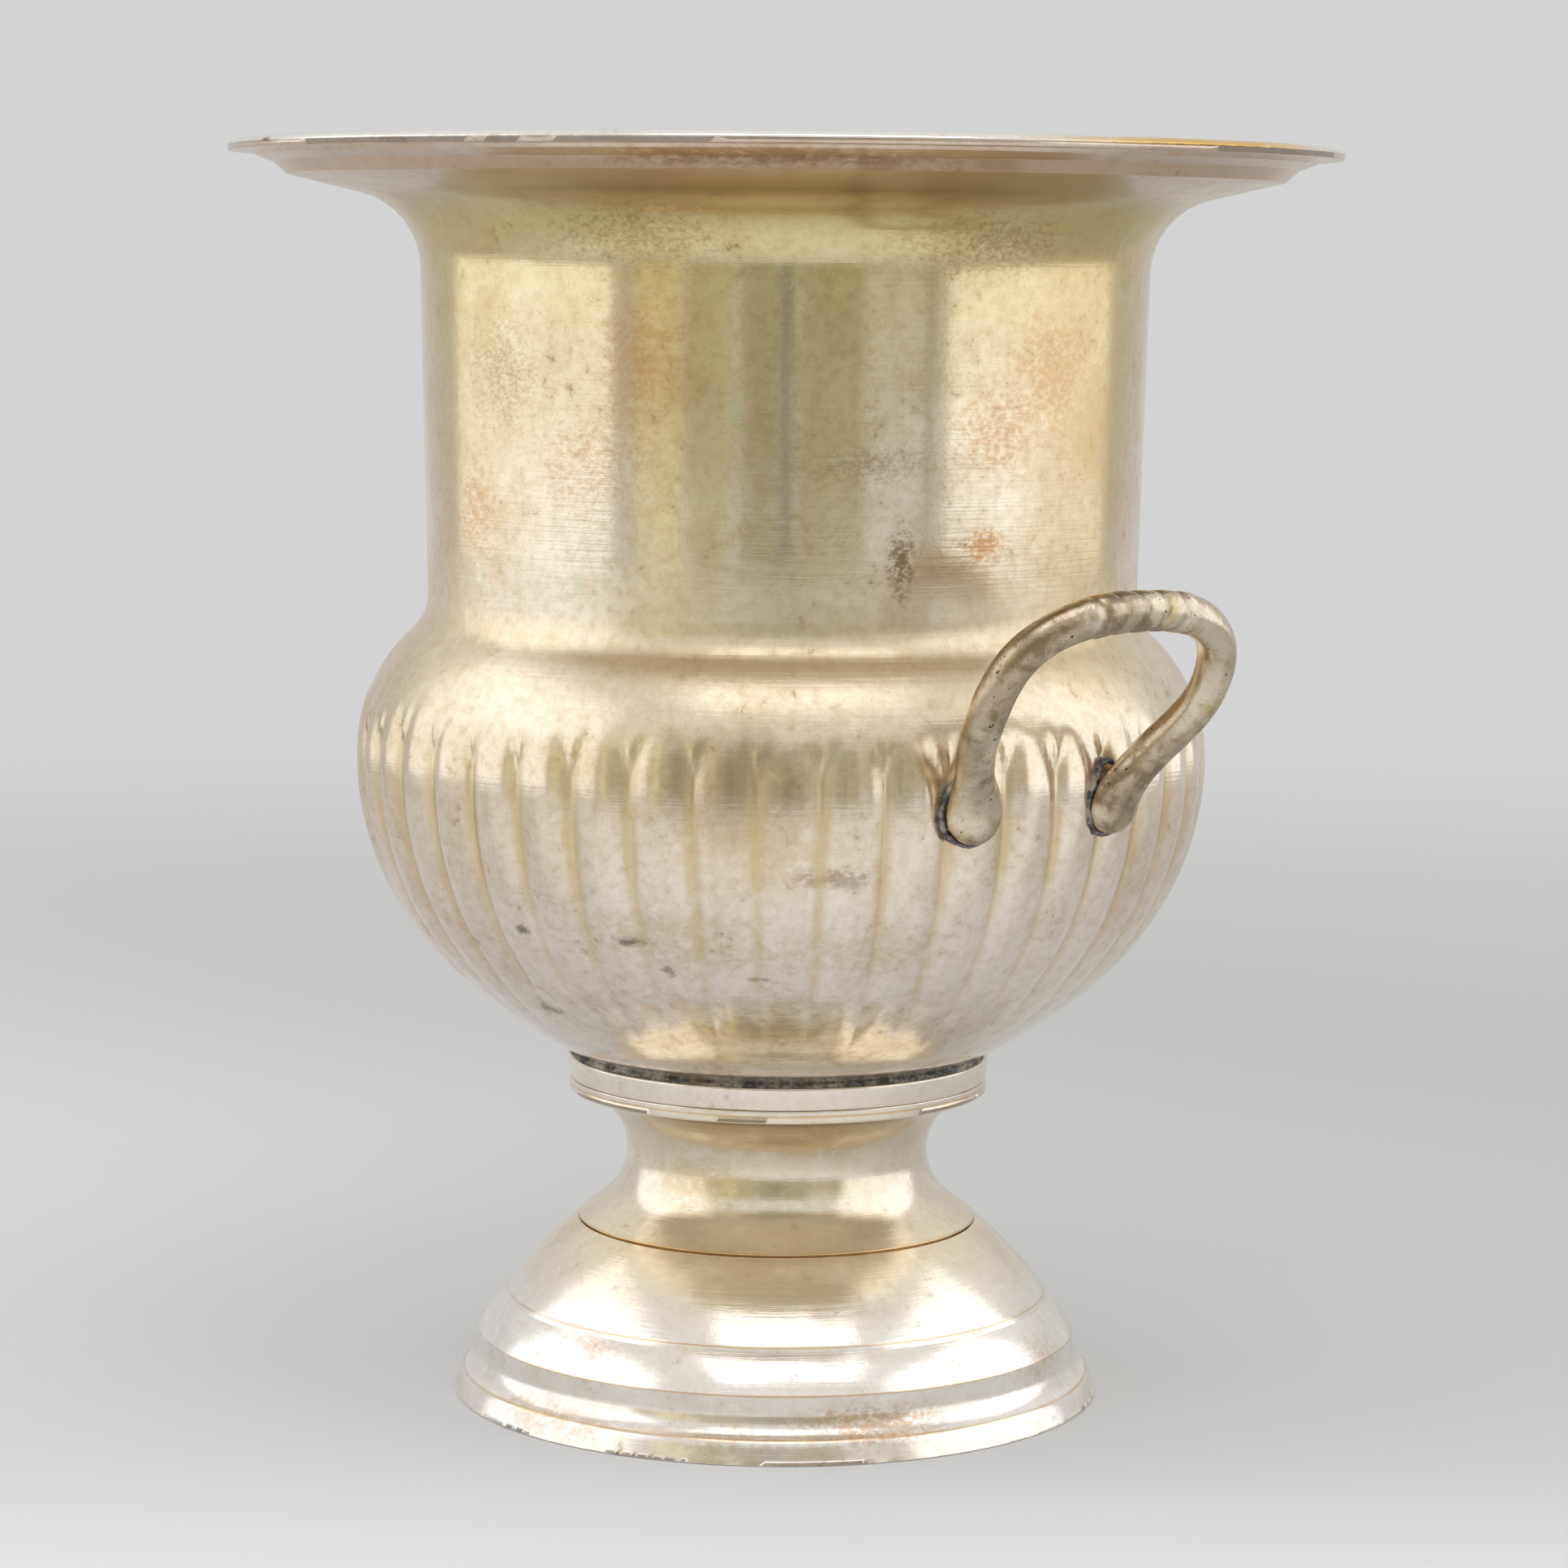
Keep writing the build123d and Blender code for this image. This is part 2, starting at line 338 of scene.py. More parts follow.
class Graph:
    """A node tree, with one method that makes any node."""

    def __init__(self, tree: bpy.types.NodeTree) -> None:
        """Empties a node tree and keeps it."""
        tree.nodes.clear()
        self.tree = tree

    def node(self, kind: str, settings: dict | None = None, sockets: dict | None = None) -> bpy.types.Node:
        """Makes a node.

        Args:
            kind: the node's type.
            settings: its properties, set first; "stops" are a colour ramp's (position, colour) pairs.
            sockets: values or Value links for its inputs, by name or number.

        Returns:
            The node.
        """
        made = self.tree.nodes.new(kind)
        for name, value in (settings or {}).items():
            if name == "stops":
                elements = made.color_ramp.elements
                while len(elements) < len(value):
                    elements.new(1.0)
                for element, (position, colour) in zip(elements, value):
                    element.position, element.color = position, colour
            else:
                setattr(made, name, value)
        for name, value in (sockets or {}).items():
            if isinstance(value, Value):
                self.tree.links.new(value.socket, made.inputs[name])
            else:
                made.inputs[name].default_value = value
        return made

    def value(
        self, kind: str, output: str | int, settings: dict | None = None, sockets: dict | None = None
    ) -> "Value":
        """Makes a node and wraps one of its outputs.

        Args:
            kind, settings, sockets: what the node is made from.
            output: the output's name or number.

        Returns:
            The output as a value.
        """
        return Value(self, self.node(kind, settings, sockets).outputs[output])

    def math(self, operation: str, *terms: "Value | float") -> "Value":
        """A Math node on up to three numbers or values."""
        return self.value("ShaderNodeMath", 0, {"operation": operation}, dict(enumerate(terms)))

    def vector(self, operation: str, *terms: "Value | tuple", output: str = "Vector") -> "Value":
        """A Vector Math node on vectors."""
        return self.value("ShaderNodeVectorMath", output, {"operation": operation}, dict(enumerate(terms)))

    def place(self) -> "Value":
        """The point being shaded, in the object's own coordinates."""
        return self.value("ShaderNodeTexCoord", "Object")

    def mix(self, factor: "Value | float", first: "Value | tuple", second: "Value | tuple") -> "Value":
        """A colour between two others."""
        return self.value("ShaderNodeMix", 2, {"data_type": "RGBA"}, {0: factor, 6: first, 7: second})

    def noise(self, place: "Value", scale: float, detail: float, rough: float) -> "Value":
        """A cloudy value that spreads round one half, from noise at a scale in waves a metre."""
        sockets = {"Vector": place, "Scale": scale, "Detail": detail, "Roughness": rough}
        return self.value("ShaderNodeTexNoise", "Fac", None, sockets)

    def stretched_noise(self, place: "Value", scales: tuple, rough: float = 0.6) -> "Value":
        """Noise of four octaves whose scale differs along x, y and z."""
        return self.noise(self.vector("MULTIPLY", place, scales), 1, 4, rough)

    def hollow(self) -> "Value":
        """The hollow value that a piece's points carry, 0 on open metal."""
        return self.value("ShaderNodeAttribute", "Fac", {"attribute_name": "hollow"})

    def ramp(self, stops: list[tuple[float, tuple]], along: "Value") -> "Value":
        """The colour that a ramp of (position, colour) stops has at a value."""
        return self.value("ShaderNodeValToRGB", "Color", {"stops": stops}, {0: along})

    def metal_surface(
        self, colour: "Value", metallic: "Value", rough: "Value", relief: "Value", bump: tuple[float, float]
    ) -> None:
        """Makes the material's surface, with its fine unevenness as a bump.

        Args:
            colour: the base colour.
            metallic: how metallic it is.
            rough: its roughness.
            relief: the unevenness, where 1 is the bump's whole depth.
            bump: the bump's strength and its depth in metres.
        """
        sockets = {"Strength": bump[0], "Distance": bump[1], "Height": relief}
        normal = self.value("ShaderNodeBump", 0, None, sockets)
        sockets = {"Base Color": colour, "Metallic": metallic, "Roughness": rough, "Normal": normal}
        shader = self.value("ShaderNodeBsdfPrincipled", 0, None, sockets)
        self.node("ShaderNodeOutputMaterial", None, {0: shader})


class Value:
    """An output socket that takes part in Python arithmetic by adding Math nodes."""

    def __init__(self, graph: Graph, socket: bpy.types.NodeSocket) -> None:
        """Keeps the graph and the socket."""
        self.graph, self.socket = graph, socket

    def __add__(self, other: "Value | float") -> "Value":
        """This plus the other."""
        return self.graph.math("ADD", self, other)

    __radd__ = __add__

    def __sub__(self, other: "Value | float") -> "Value":
        """This less the other."""
        return self.graph.math("SUBTRACT", self, other)

    def __rsub__(self, other: float) -> "Value":
        """The other less this."""
        return self.graph.math("SUBTRACT", other, self)

    def __mul__(self, other: "Value | float") -> "Value":
        """This times the other."""
        return self.graph.math("MULTIPLY", self, other)

    __rmul__ = __mul__

    def __truediv__(self, other: "Value | float") -> "Value":
        """This over the other."""
        return self.graph.math("DIVIDE", self, other)

    def __abs__(self) -> "Value":
        """This without its sign."""
        return self.graph.math("ABSOLUTE", self)

    def above(self, low: float, high: float) -> "Value":
        """A smooth step: 0 at `low`, 1 at `high`; the other way round if low is the larger."""
        if low > high:
            return 1 - self.above(high, low)
        sockets = {"Value": self, "From Min": low, "From Max": high}
        return self.graph.value("ShaderNodeMapRange", "Result", {"interpolation_type": "SMOOTHSTEP"}, sockets)

    def max(self, other: "Value | float") -> "Value":
        """The larger of this and the other."""
        return self.graph.math("MAXIMUM", self, other)

    def capped(self) -> "Value":
        """This held between 0 and 1."""
        return self.graph.value("ShaderNodeClamp", 0, None, {0: self})


def blank_finish(name: str) -> tuple[bpy.types.Material, Graph]:
    """Makes a material whose node tree is empty.

    Args:
        name: its name.

    Returns:
        The material, and the graph that fills its tree.
    """
    material = bpy.data.materials.new(name)
    material.use_nodes = True
    return material, Graph(material.node_tree)


# ---- finishes ------------------------------------------------------------------------


class Blemish(Enum):
    """Kinds of mark on the plate, each with its colour."""

    RUST = srgb(188, 132, 68)
    UMBER = srgb(120, 84, 48)
    OCHRE = srgb(190, 158, 98)
    SLATE = srgb(84, 78, 58)
    PALE = srgb(205, 210, 175)
    BRASS = srgb(216, 172, 88)


@dataclass(frozen=True)
class Mark:
    """A patch of stain on the plate.

    Attributes:
        angle: degrees round the axis, from the camera's side, counted to the right.
        height: millimetres above the foot.
        wide, tall: its size in millimetres.
        kind: its colour.
        strength: how much of it covers the metal.
        grain: millimetres across the spots that break it up.
        fill: share of its area that the spots cover.
    """

    angle: float
    height: float
    wide: float
    tall: float
    kind: Blemish
    strength: float = 0.6
    grain: float = 1.2
    fill: float = 0.5


@dataclass(frozen=True)
class WornPlate:
    """Silver plate, rubbed and tarnished: tones that change with height, clouds, specks and rubbing lines.

    Attributes:
        name: name of the material.
        tones: (height in millimetres, colour) pairs up the piece.
        cloud: colour of the tarnish clouds.
        cloudiness: how strongly they show.
        specks: share of the surface that dark specks cover, 0 to 1.
        metal: how metallic the surface is under its film of tarnish.
        gloss: roughness of the clean metal.
        haze: roughness that the tarnish adds.
        matte: (height in millimetres, further roughness) pairs up the piece.
        edges: heights in millimetres where the plate is rubbed through to brass.
        marks: patches of stain.
        surface: the piece whose surface the marks lie on.
        brass: colour of the bare metal on the rubbed edges.
        streak: colour of the fine strokes that polishing has left.
        crease: colour of the dirt in the hollows between the flutes.
        crease_ends: heights in metres where that dirt is faint and where it is full.
        bump: strength of the fine relief, and its depth in metres.
    """

    name: str
    tones: tuple[tuple[float, tuple], ...]
    cloud: tuple = srgb(170, 140, 84)
    cloudiness: float = 0.5
    specks: float = 0.4
    metal: float = 0.88
    gloss: float = 0.12
    haze: float = 0.16
    matte: tuple[tuple[float, float], ...] = ((0, 0.0), (250, 0.0))
    edges: tuple[tuple[float, float], ...] = ()
    marks: tuple[Mark, ...] = ()
    surface: "Vessel | Foot | None" = None
    brass: tuple = srgb(202, 162, 96)
    streak: tuple = srgb(126, 98, 62)
    crease: tuple = srgb(204, 178, 128)
    crease_ends: tuple[float, float] = (0.142, 0.122)
    bump: tuple[float, float] = (0.14, 0.0004)

    def build(self) -> bpy.types.Material:
        """Makes the material.

        Each layer is a mix over the one below it: the ramp of tones, clouds, polishing strokes, grit, the
        marks, dirt in the hollows and bare metal on the rubbed edges. The masks are products of noises that
        smooth steps have cut.
        """
        material, graph = blank_finish(self.name)
        place = graph.place()
        height = graph.value("ShaderNodeSeparateXYZ", 2, None, {0: place})
        broad = graph.noise(place, 16, 5, 0.6)
        patch = graph.noise(place, 70, 6, 0.65)
        fine = graph.noise(place, 420, 5, 0.7)
        dust = graph.noise(place, 1500, 3, 0.6)
        rubbed = graph.stretched_noise(place, (40, 40, 1700))
        strokes = graph.stretched_noise(place, (110, 110, 900), 0.65)

        top = self.tones[-1][0]
        shifted = height / (top * MM) + (broad - 0.5) * 0.05
        colour = graph.ramp([(z / top, tone) for z, tone in self.tones], shifted)

        clouds = (broad.above(0.40, 0.66) * 0.55 + patch.above(0.42, 0.70) * 0.45) * self.cloudiness
        colour = graph.mix(clouds, colour, self.cloud)
        film = fine.above(0.42, 0.62) * (0.35 + patch) * 0.60 * self.cloudiness
        colour = graph.mix(film, colour, self.cloud)
        polish = strokes.above(0.60, 0.74) * patch.above(0.40, 0.60) * 0.5 * self.cloudiness
        colour = graph.mix(polish, colour, self.streak)
        grit = fine.above(0.61, 0.68) * patch.above(0.42, 0.60)
        grit = grit.max(dust.above(0.68, 0.73) * broad.above(0.40, 0.60)) * self.specks
        colour = graph.mix(grit, colour, Blemish.UMBER.value)

        dull = clouds + grit + fine.above(0.35, 0.70) * 0.25
        for number, mark in enumerate(self.marks):
            cover = self._cover(graph, place, mark, number)
            colour = graph.mix(cover, colour, mark.kind.value)
            dull = dull + cover

        ragged = graph.stretched_noise(place, (330, 330, 70))
        dirt = (graph.hollow() * (0.35 + ragged * 1.5) * (0.6 + broad * 0.8)).above(0.25, 1.0)
        colour = graph.mix(dirt * (0.12 + height.above(*self.crease_ends) * 0.5), colour, self.crease)
        for level, half in self.edges:
            rub = abs(height - level * MM) + (patch - 0.5) * half * 0.7 * MM
            worn = rub.above(half * MM, half * 0.45 * MM)
            colour = graph.mix(worn * (0.30 + 0.35 * broad.above(0.35, 0.6)), colour, self.brass)

        matte = graph.ramp([(z / top, (rough, rough, rough, 1.0)) for z, rough in self.matte], shifted)
        rough = self.gloss + self.haze * dull.capped() + (rubbed - 0.5) * 0.10 + dirt * 0.06 + matte
        relief = rubbed * 0.5 + fine * 0.3 + dust * 0.15 + grit * -0.6
        metallic = self.metal - grit * 0.4 - dirt * 0.15
        graph.metal_surface(colour, metallic, rough.capped(), relief, self.bump)
        return material

    def _cover(self, graph: Graph, place: Value, mark: Mark, number: int) -> Value:
        """How much a mark covers the metal at each point.

        Args:
            graph: the material's graph.
            place: the point being shaded.
            mark: the mark.
            number: its place in the list, which shifts its pattern.

        Returns:
            0 to 1: a soft spot round its centre, broken up by noise.
        """
        turn = math.radians(CAMERA_AZIMUTH + mark.angle - 90)
        radius = self.surface.outer_radius(mark.height)
        centre = (radius * math.cos(turn) * MM, radius * math.sin(turn) * MM, mark.height * MM)
        away = graph.vector("SUBTRACT", place, centre)
        wide, tall = mark.wide * MM / 2, mark.tall * MM / 2
        away = graph.vector("MULTIPLY", away, (1 / wide, 1 / wide, 1 / tall))
        reach = graph.vector("LENGTH", away, output="Value")
        shifted = graph.vector("MULTIPLY_ADD", place, (1.0, 1.0, 1.5), (0.1 * number, 0.0, 0.0))
        grain = graph.noise(shifted, 0.6 / (mark.grain * MM), 8, 0.74)
        edge = 0.62 - 0.3 * mark.fill
        spots = (grain - reach * 0.16).above(edge - 0.16, edge + 0.04)
        return spots * reach.above(1.25, 0.2) * mark.strength


@dataclass(frozen=True)
class CastMetal:
    """Tarnished plate on rough castings: pinkish grey with dark worn-in patches, pits and brighter ridges.

    Attributes:
        name: name of the material.
        ridge, body: the two tones that lie over the castings in broad patches.
        shade: colour of the dull film in the worn-in patches.
        brass: colour of the metal that shows through.
        pit: colour of the pits and of the grooves between the knuckles.
        bump: strength of the relief, and its depth in metres.
    """

    name: str = "cast_handle_finish"
    ridge: tuple = srgb(214, 200, 178)
    body: tuple = srgb(176, 156, 132)
    shade: tuple = srgb(116, 94, 80)
    brass: tuple = srgb(182, 158, 92)
    pit: tuple = srgb(52, 42, 36)
    bump: tuple[float, float] = (0.35, 0.0005)

    def build(self) -> bpy.types.Material:
        """Makes the material."""
        material, graph = blank_finish(self.name)
        place = graph.place()
        broad = graph.noise(place, 60, 5, 0.6)
        patch = graph.noise(place, 210, 6, 0.65)
        fine = graph.noise(place, 900, 5, 0.7)
        pits = graph.noise(place, 520, 2, 0.5).above(0.69, 0.74)
        colour = graph.mix(broad.above(0.38, 0.62), self.body, self.ridge)
        colour = graph.mix(patch.above(0.50, 0.62) * 0.5, colour, self.brass)
        shade = (broad.above(0.58, 0.42) * patch.above(0.46, 0.60)).max(fine.above(0.58, 0.66) * 0.55)
        colour = graph.mix(shade * 0.65, colour, self.shade)
        colour = graph.mix((graph.hollow() * 0.55 * (0.5 + patch)).max(pits), colour, self.pit)
        relief = fine * 0.4 + patch * 0.6 - pits * 2.0
        rough = 0.17 + shade * 0.2 + (patch - 0.5) * 0.2
        graph.metal_surface(colour, 1 - pits * 0.6 - shade * 0.12, rough, relief, self.bump)
        return material


@dataclass(frozen=True)
class Solder:
    """Soft solder gone grey-black, with paler smears and patches of brown flux.

    Attributes:
        name: name of the material.
        dark, light: tones of the solder and of its smears.
        flux: colour of the flux.
        bump: strength of the relief, and its depth in metres.
    """

    name: str = "soft_solder_finish"
    dark: tuple = srgb(74, 74, 76)
    light: tuple = srgb(168, 162, 152)
    flux: tuple = srgb(148, 112, 70)
    bump: tuple[float, float] = (0.6, 0.0006)

    def build(self) -> bpy.types.Material:
        """Makes the material."""
        material, graph = blank_finish(self.name)
        place = graph.place()
        patch = graph.noise(place, 300, 5, 0.6)
        fine = graph.noise(place, 1200, 4, 0.7)
        smear = graph.stretched_noise(place, (160, 160, 520))
        colour = graph.mix((smear * 0.7 + fine * 0.4).above(0.46, 0.66), self.dark, self.light)
        colour = graph.mix(graph.noise(place, 120, 3, 0.5).above(0.60, 0.70) * 0.6, colour, self.flux)
        graph.metal_surface(colour, 0.35 + 0.5 * patch, 0.35 + 0.3 * fine, patch + fine * 0.5, self.bump)
        return material


# ---- sub-assemblies ------------------------------------------------------------------


@dataclass
class Vessel:
    """The fluted bowl, neck and brim, spun from one sheet, with the border wire on its rim.

    Attributes:
        height, rim: overall height and the rim's radius.
        sheet: thickness of the sheet.
        base_centre, base_radius: height of the centre and radius of the arc under the bowl.
        side_centre, side_radius: the arc of the bowl's side.
        shoulder_centre, shoulder_radius: the arc of its shoulder.
        root_centre, root_radius: the hollow where the shoulder meets the neck.
        throat, throat_radius: the corner between neck and brim, and its rounding.
        brim, brim_radii: the brim's corners out to the edge, and the roundings of the corners between.
        border_width, border_height: the half-round wire.
        lobes, lobe_columns: number of flutes, and grid columns on each.
        first_crease: degrees from +x to the first crease.
        crease_depth, crest: how deep the creases lie and how proud the lobes stand.
        crease_power: how sharply a lobe falls away to its creases.
        dome_top, dome_drop, dome_blend: height of the lobes' rounded tops, their fall to the creases, and the
            length over which they rise from the plain bowl.
        fade_from, fade_to: heights between which the flutes die out downwards.
        shallow, shallow_length: their depth at fade_from as a share of the whole, and the height over which
            they gain the rest.
        plain: radii at the bowl's bottom between which the sheet's unevenness sets in.
    """

    height: float = 250.0
    rim: float = 110.0
    sheet: float = 1.0
    base_centre: float = 155.0
    base_radius: float = 95.0
    side_centre: tuple[float, float] = (26.1, 129.5)
    side_radius: float = 58.5
    shoulder_centre: tuple[float, float] = (51.6, 129.5)
    shoulder_radius: float = 33.0
    root_centre: tuple[float, float] = (80.7, 161.16)
    root_radius: float = 10.0
    throat: tuple[float, float] = (72.5, 237.3)
    throat_radius: float = 15.0
    brim: tuple = ((98.4, 243.4), (100.9, 245.7), (104.4, 247.0), (104.9, 247.8), (109.7, 247.8))
    brim_radii: tuple = (0.6, 0.8, 0.3, 0.3)
    border_width: float = 5.6
    border_height: float = 1.2
    lobes: int = 44
    lobe_columns: int = 10
    first_crease: float = 5.49
    crease_depth: float = 1.15
    crest: float = 0.3
    crease_power: float = 1.8
    dome_top: float = 143.5
    dome_drop: float = 6.5
    dome_blend: float = 3.6
    fade_from: float = 94.0
    fade_to: float = 78.0
    shallow: float = 0.62
    shallow_length: float = 34.0
    plain: tuple[float, float] = (12.0, 32.0)

    def outer_radius(self, height: float) -> float:
        """Radius of the plain outer surface at a height.

        Args:
            height: millimetres above the foot.

        Returns:
            The radius on the bowl's three arcs, or on the neck above them.
        """
        line = self.outer_line()
        return float(np.interp(height, line[:, 1], line[:, 0]))

    def outer_line(self) -> np.ndarray:
        """The outer profile from the bottom of the bowl to the rim: three arcs, a hollow, neck and brim."""
        split = math.degrees(math.acos(self.side_centre[0] / (self.base_radius - self.side_radius)))
        across, up = np.subtract(self.root_centre, self.shoulder_centre)
        sweep = math.degrees(math.atan2(up, across))
        parts = [
            arc((0, self.base_centre), self.base_radius, -90, -split, 14),
            arc(self.side_centre, self.side_radius, -split, 0, 27)[1:],
            arc(self.shoulder_centre, self.shoulder_radius, 0, sweep, 20)[1:],
            arc(self.root_centre, self.root_radius, 180 + sweep, 180, 9)[1:],
        ]
        corners = np.array((parts[-1][-1], self.throat, *self.brim))
        upper = rounded(corners, np.array((self.throat_radius, *self.brim_radii)), 9, 12)
        return np.vstack((*parts, fill(upper, 6.0)[1:]))

    def below_neck(self) -> np.ndarray:
        """The outer profile's first points, which rise all the way, as rows of heights and of radii."""
        return self.outer_line()[:80, ::-1].T

    def bowl(self, finish: bpy.types.Material) -> None:
        """Builds the sheet with its flutes.

        Each flute's lobe is proud by crest - (crest + depth) * v^crease_power, where v runs from 0 on its
        middle to 1 on the creases beside it. The lobes end upwards in domes, at dome_top - dome_drop * v^3,
        and grow shallow downwards, first slowly and then fully. The pressing shows on both faces.
        """
        outer = self.outer_line()
        edge = outer[-1]
        inner = inner_face(outer, self.sheet)
        inner = inner[np.unique(np.r_[0:len(inner):2, len(inner) - 1])]
        lip = rounded(np.array((edge, edge + (0, self.sheet), inner[0])), 0.3)[1:-1]
        line = np.vstack((outer, lip, inner))
        line[[0, -1], 0] = 0.0
        side = np.where(np.arange(len(line)) < len(outer), 1.0, -1.0)[:, None]
        columns = self.lobes * self.lobe_columns
        share = np.arange(columns) / self.lobe_columns
        within = share % 1
        within = within - 0.09 * np.sin(2 * np.pi * within)
        turn = (np.floor(share) + within) * 2 * np.pi / self.lobes + math.radians(self.first_crease)
        height = line[:, 1:]
        draw = np.random.default_rng(7)
        lobe = np.floor(share).astype(int)
        deep = (self.crease_depth * draw.uniform(0.85, 1.15, self.lobes))[lobe]
        top = (self.dome_top + draw.uniform(-0.8, 0.8, self.lobes))[lobe]
        v = np.abs(2 * within - 1)
        profile = self.crest - (self.crest + deep) * v**self.crease_power
        dome = smoothstep((top - self.dome_drop * v**3 - height) / self.dome_blend)
        fade = smoothstep((height - self.fade_to) / (self.fade_from - self.fade_to))
        gained = smoothstep((height - self.fade_from) / self.shallow_length)
        fade = fade * (self.shallow + (1 - self.shallow) * gained)
        waves = 0.035 * ripple(turn[None, :], height / 40, (3, 14), 3.0, 11)
        waves = waves + 0.010 * ripple(turn[None, :], height / 60, (25, 60), 1.5, 12)
        away = smoothstep((line[:, :1] - self.plain[0]) / (self.plain[1] - self.plain[0]))
        lift = (profile * dome * fade + waves * away) * side
        hollow = smoothstep((v - 0.42) / 0.58) * dome * fade * np.ones_like(height)
        normal = right_normals(line)
        radius = line[:, :1] + normal[:, :1] * lift
        rise = height + normal[:, 1:] * lift
        rise[[0, -1]] = height[[0, -1]]
        radius[[0, -1]] = 0.0
        rings = np.stack((radius * np.cos(turn), radius * np.sin(turn), rise), axis=-1)
        piece = loft("fluted_bowl", rings, hollow=hollow)
        finish_piece(piece, finish, ("bucket_shell",))

    def border(self, finish: bpy.types.Material) -> None:
        """Builds the half-round wire on the rim: half an ellipse turned round the axis, a little uneven."""
        half, columns = self.border_width / 2, 720
        foot = self.height - self.border_height
        angle = np.linspace(0, np.pi, 17)
        curve = (self.rim - half + half * np.cos(angle), foot + self.border_height * np.sin(angle))
        curve = np.column_stack(curve)
        flat = np.column_stack((np.linspace(curve[-1, 0], curve[0, 0], 5), np.full(5, foot)))[1:-1]
        line = np.vstack((curve, flat))
        turn = ring_angles(columns)[None, :]
        lift = -0.05 - 0.03 * ripple(turn, line[:, 1:] * 0, (20, 90), 0, 5)
        piece = loft("rim_wire", turned_rings(line, columns, lift), looped=True)
        finish_piece(piece, finish, ("rim_border",))


@dataclass
class Foot:
    """The collar ring, the stem and the stepped foot, with the solder that joins them to the bowl.

    Attributes:
        sheet: thickness of the stem and the foot.
        seat: radius of the ring's bore, which the bowl sits in.
        collar, collar_lean: the ring's upper radius, and how much less its lower one is.
        collar_top, collar_height: height of the ring's top, and its height.
        spigot, spigot_gap: depth of the ring's tongue in the stem, and the clearance round it.
        flange, flange_round: radius of the stem's upper end, and its rounding.
        waist, waist_radius: centre and radius of the stem's hollow curve.
        flange_angle, lap_angle: slope of the stem at its upper flange and at the lap, in degrees.
        lap, lap_length, lap_step: lower end of the stem, how far the foot runs under it, and the step there.
        edge: radius of the foot's lower edge.
        rings: (radius, height) of the foot's three turned edges, from the top.
        ring_step, ring_drop, ring_bulge: the steps at those edges, and the bow of the sheet between.
        band: height of the upright band.
        sheet_round, collar_round: rounding of the cut edges.
        waver: height of the turned surfaces' slow unevenness.
        columns: grid columns round the axis.
    """

    sheet: float = 1.0
    seat: float = 39.28
    collar: float = 42.58
    collar_lean: float = 0.5
    collar_top: float = 68.5
    collar_height: float = 4.5
    spigot: float = 1.5
    spigot_gap: float = 0.1
    flange: float = 42.18
    flange_round: float = 0.8
    waist: tuple[float, float] = (42.9, 49.0)
    waist_radius: float = 12.5
    flange_angle: float = 82.7
    lap_angle: float = 38.0
    lap: tuple[float, float] = (40.2, 35.24)
    lap_length: float = 3.5
    lap_step: float = 0.3
    edge: float = 65.3
    rings: tuple = ((54.5, 20.3), (60.4, 12.3), (63.2, 4.5))
    ring_step: float = 0.4
    ring_drop: float = 1.0
    ring_bulge: float = 0.4
    band: float = 3.2
    sheet_round: float = 0.14
    collar_round: float = 0.35
    waver: float = 0.02
    columns: int = 360

    def outer_radius(self, height: float) -> float:
        """Radius of the foot at a height, taken straight from ring to ring and over the waist."""
        waist = (self.waist[0] - self.waist_radius, self.waist[1])
        flange = (self.flange, self.collar_top - self.collar_height - self.sheet)
        points = ((self.edge, 0.0), *self.rings[::-1], self.lap, waist, flange)
        return float(np.interp(height, [z for _, z in points], [r for r, _ in points]))

    def _under_lap(self, radius: float, depth: float) -> tuple[float, float]:
        """Point at a radius on the lower flange's slope and a depth under its outer face."""
        fall = math.radians(self.lap_angle)
        rise = (self.lap[0] - radius) * math.tan(fall) - depth * math.cos(fall)
        return (radius - depth * math.sin(fall), self.lap[1] + rise)

    def _turn_sheet(
        self, name: str, outer: np.ndarray, finish: bpy.types.Material, node: str, seed: int
    ) -> None:
        """Builds a turned sheet from its outer face, travelling upwards, with softened edges.

        Args:
            name: name of the piece.
            outer: the outer face.
            finish: its material.
            node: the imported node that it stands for.
            seed: seed of its slow unevenness.
        """
        inner = inner_face(outer, self.sheet)
        inner[:, 1] = np.maximum(inner[:, 1], 0)
        start = (outer[0] + inner[-1]) / 2
        line = rounded(np.vstack((start, outer, inner, start)), self.sheet_round, 4, 24)
        line = fill(line, 1.6)[:-1]
        turn = ring_angles(self.columns)[None, :]
        lift = self.waver * ripple(turn, line[:, 1:] / 20, (3, 12), 3.0, seed)
        lift = lift * smoothstep(line[:, 1:] / 3)
        piece = loft(name, turned_rings(line, self.columns, lift), looped=True)
        finish_piece(piece, finish, (node,))

    def collar_ring(self, finish: bpy.types.Material) -> None:
        """Builds the turned ring between the bowl and the stem."""
        floor = self.collar_top - self.collar_height
        spigot = self.flange - self.sheet - self.spigot_gap
        corners = np.array(
            (
                (self.seat, floor - self.spigot),
                (spigot, floor - self.spigot),
                (spigot, floor),
                (self.collar - self.collar_lean, floor),
                (self.collar, self.collar_top),
                (self.seat, self.collar_top),
                (self.seat, floor - self.spigot),
            )
        )
        line = fill(rounded(corners, self.collar_round, 5), 1.2)[:-1]
        turn = ring_angles(self.columns)[None, :]
        lift = self.waver * ripple(turn, line[:, 1:] / 20, (3, 20), 1.0, 21) * (line[:, :1] > self.seat + 1)
        piece = loft("collar_band", turned_rings(line, self.columns, lift - self.waver / 2), looped=True)
        finish_piece(piece, finish, ("collar_ring",))

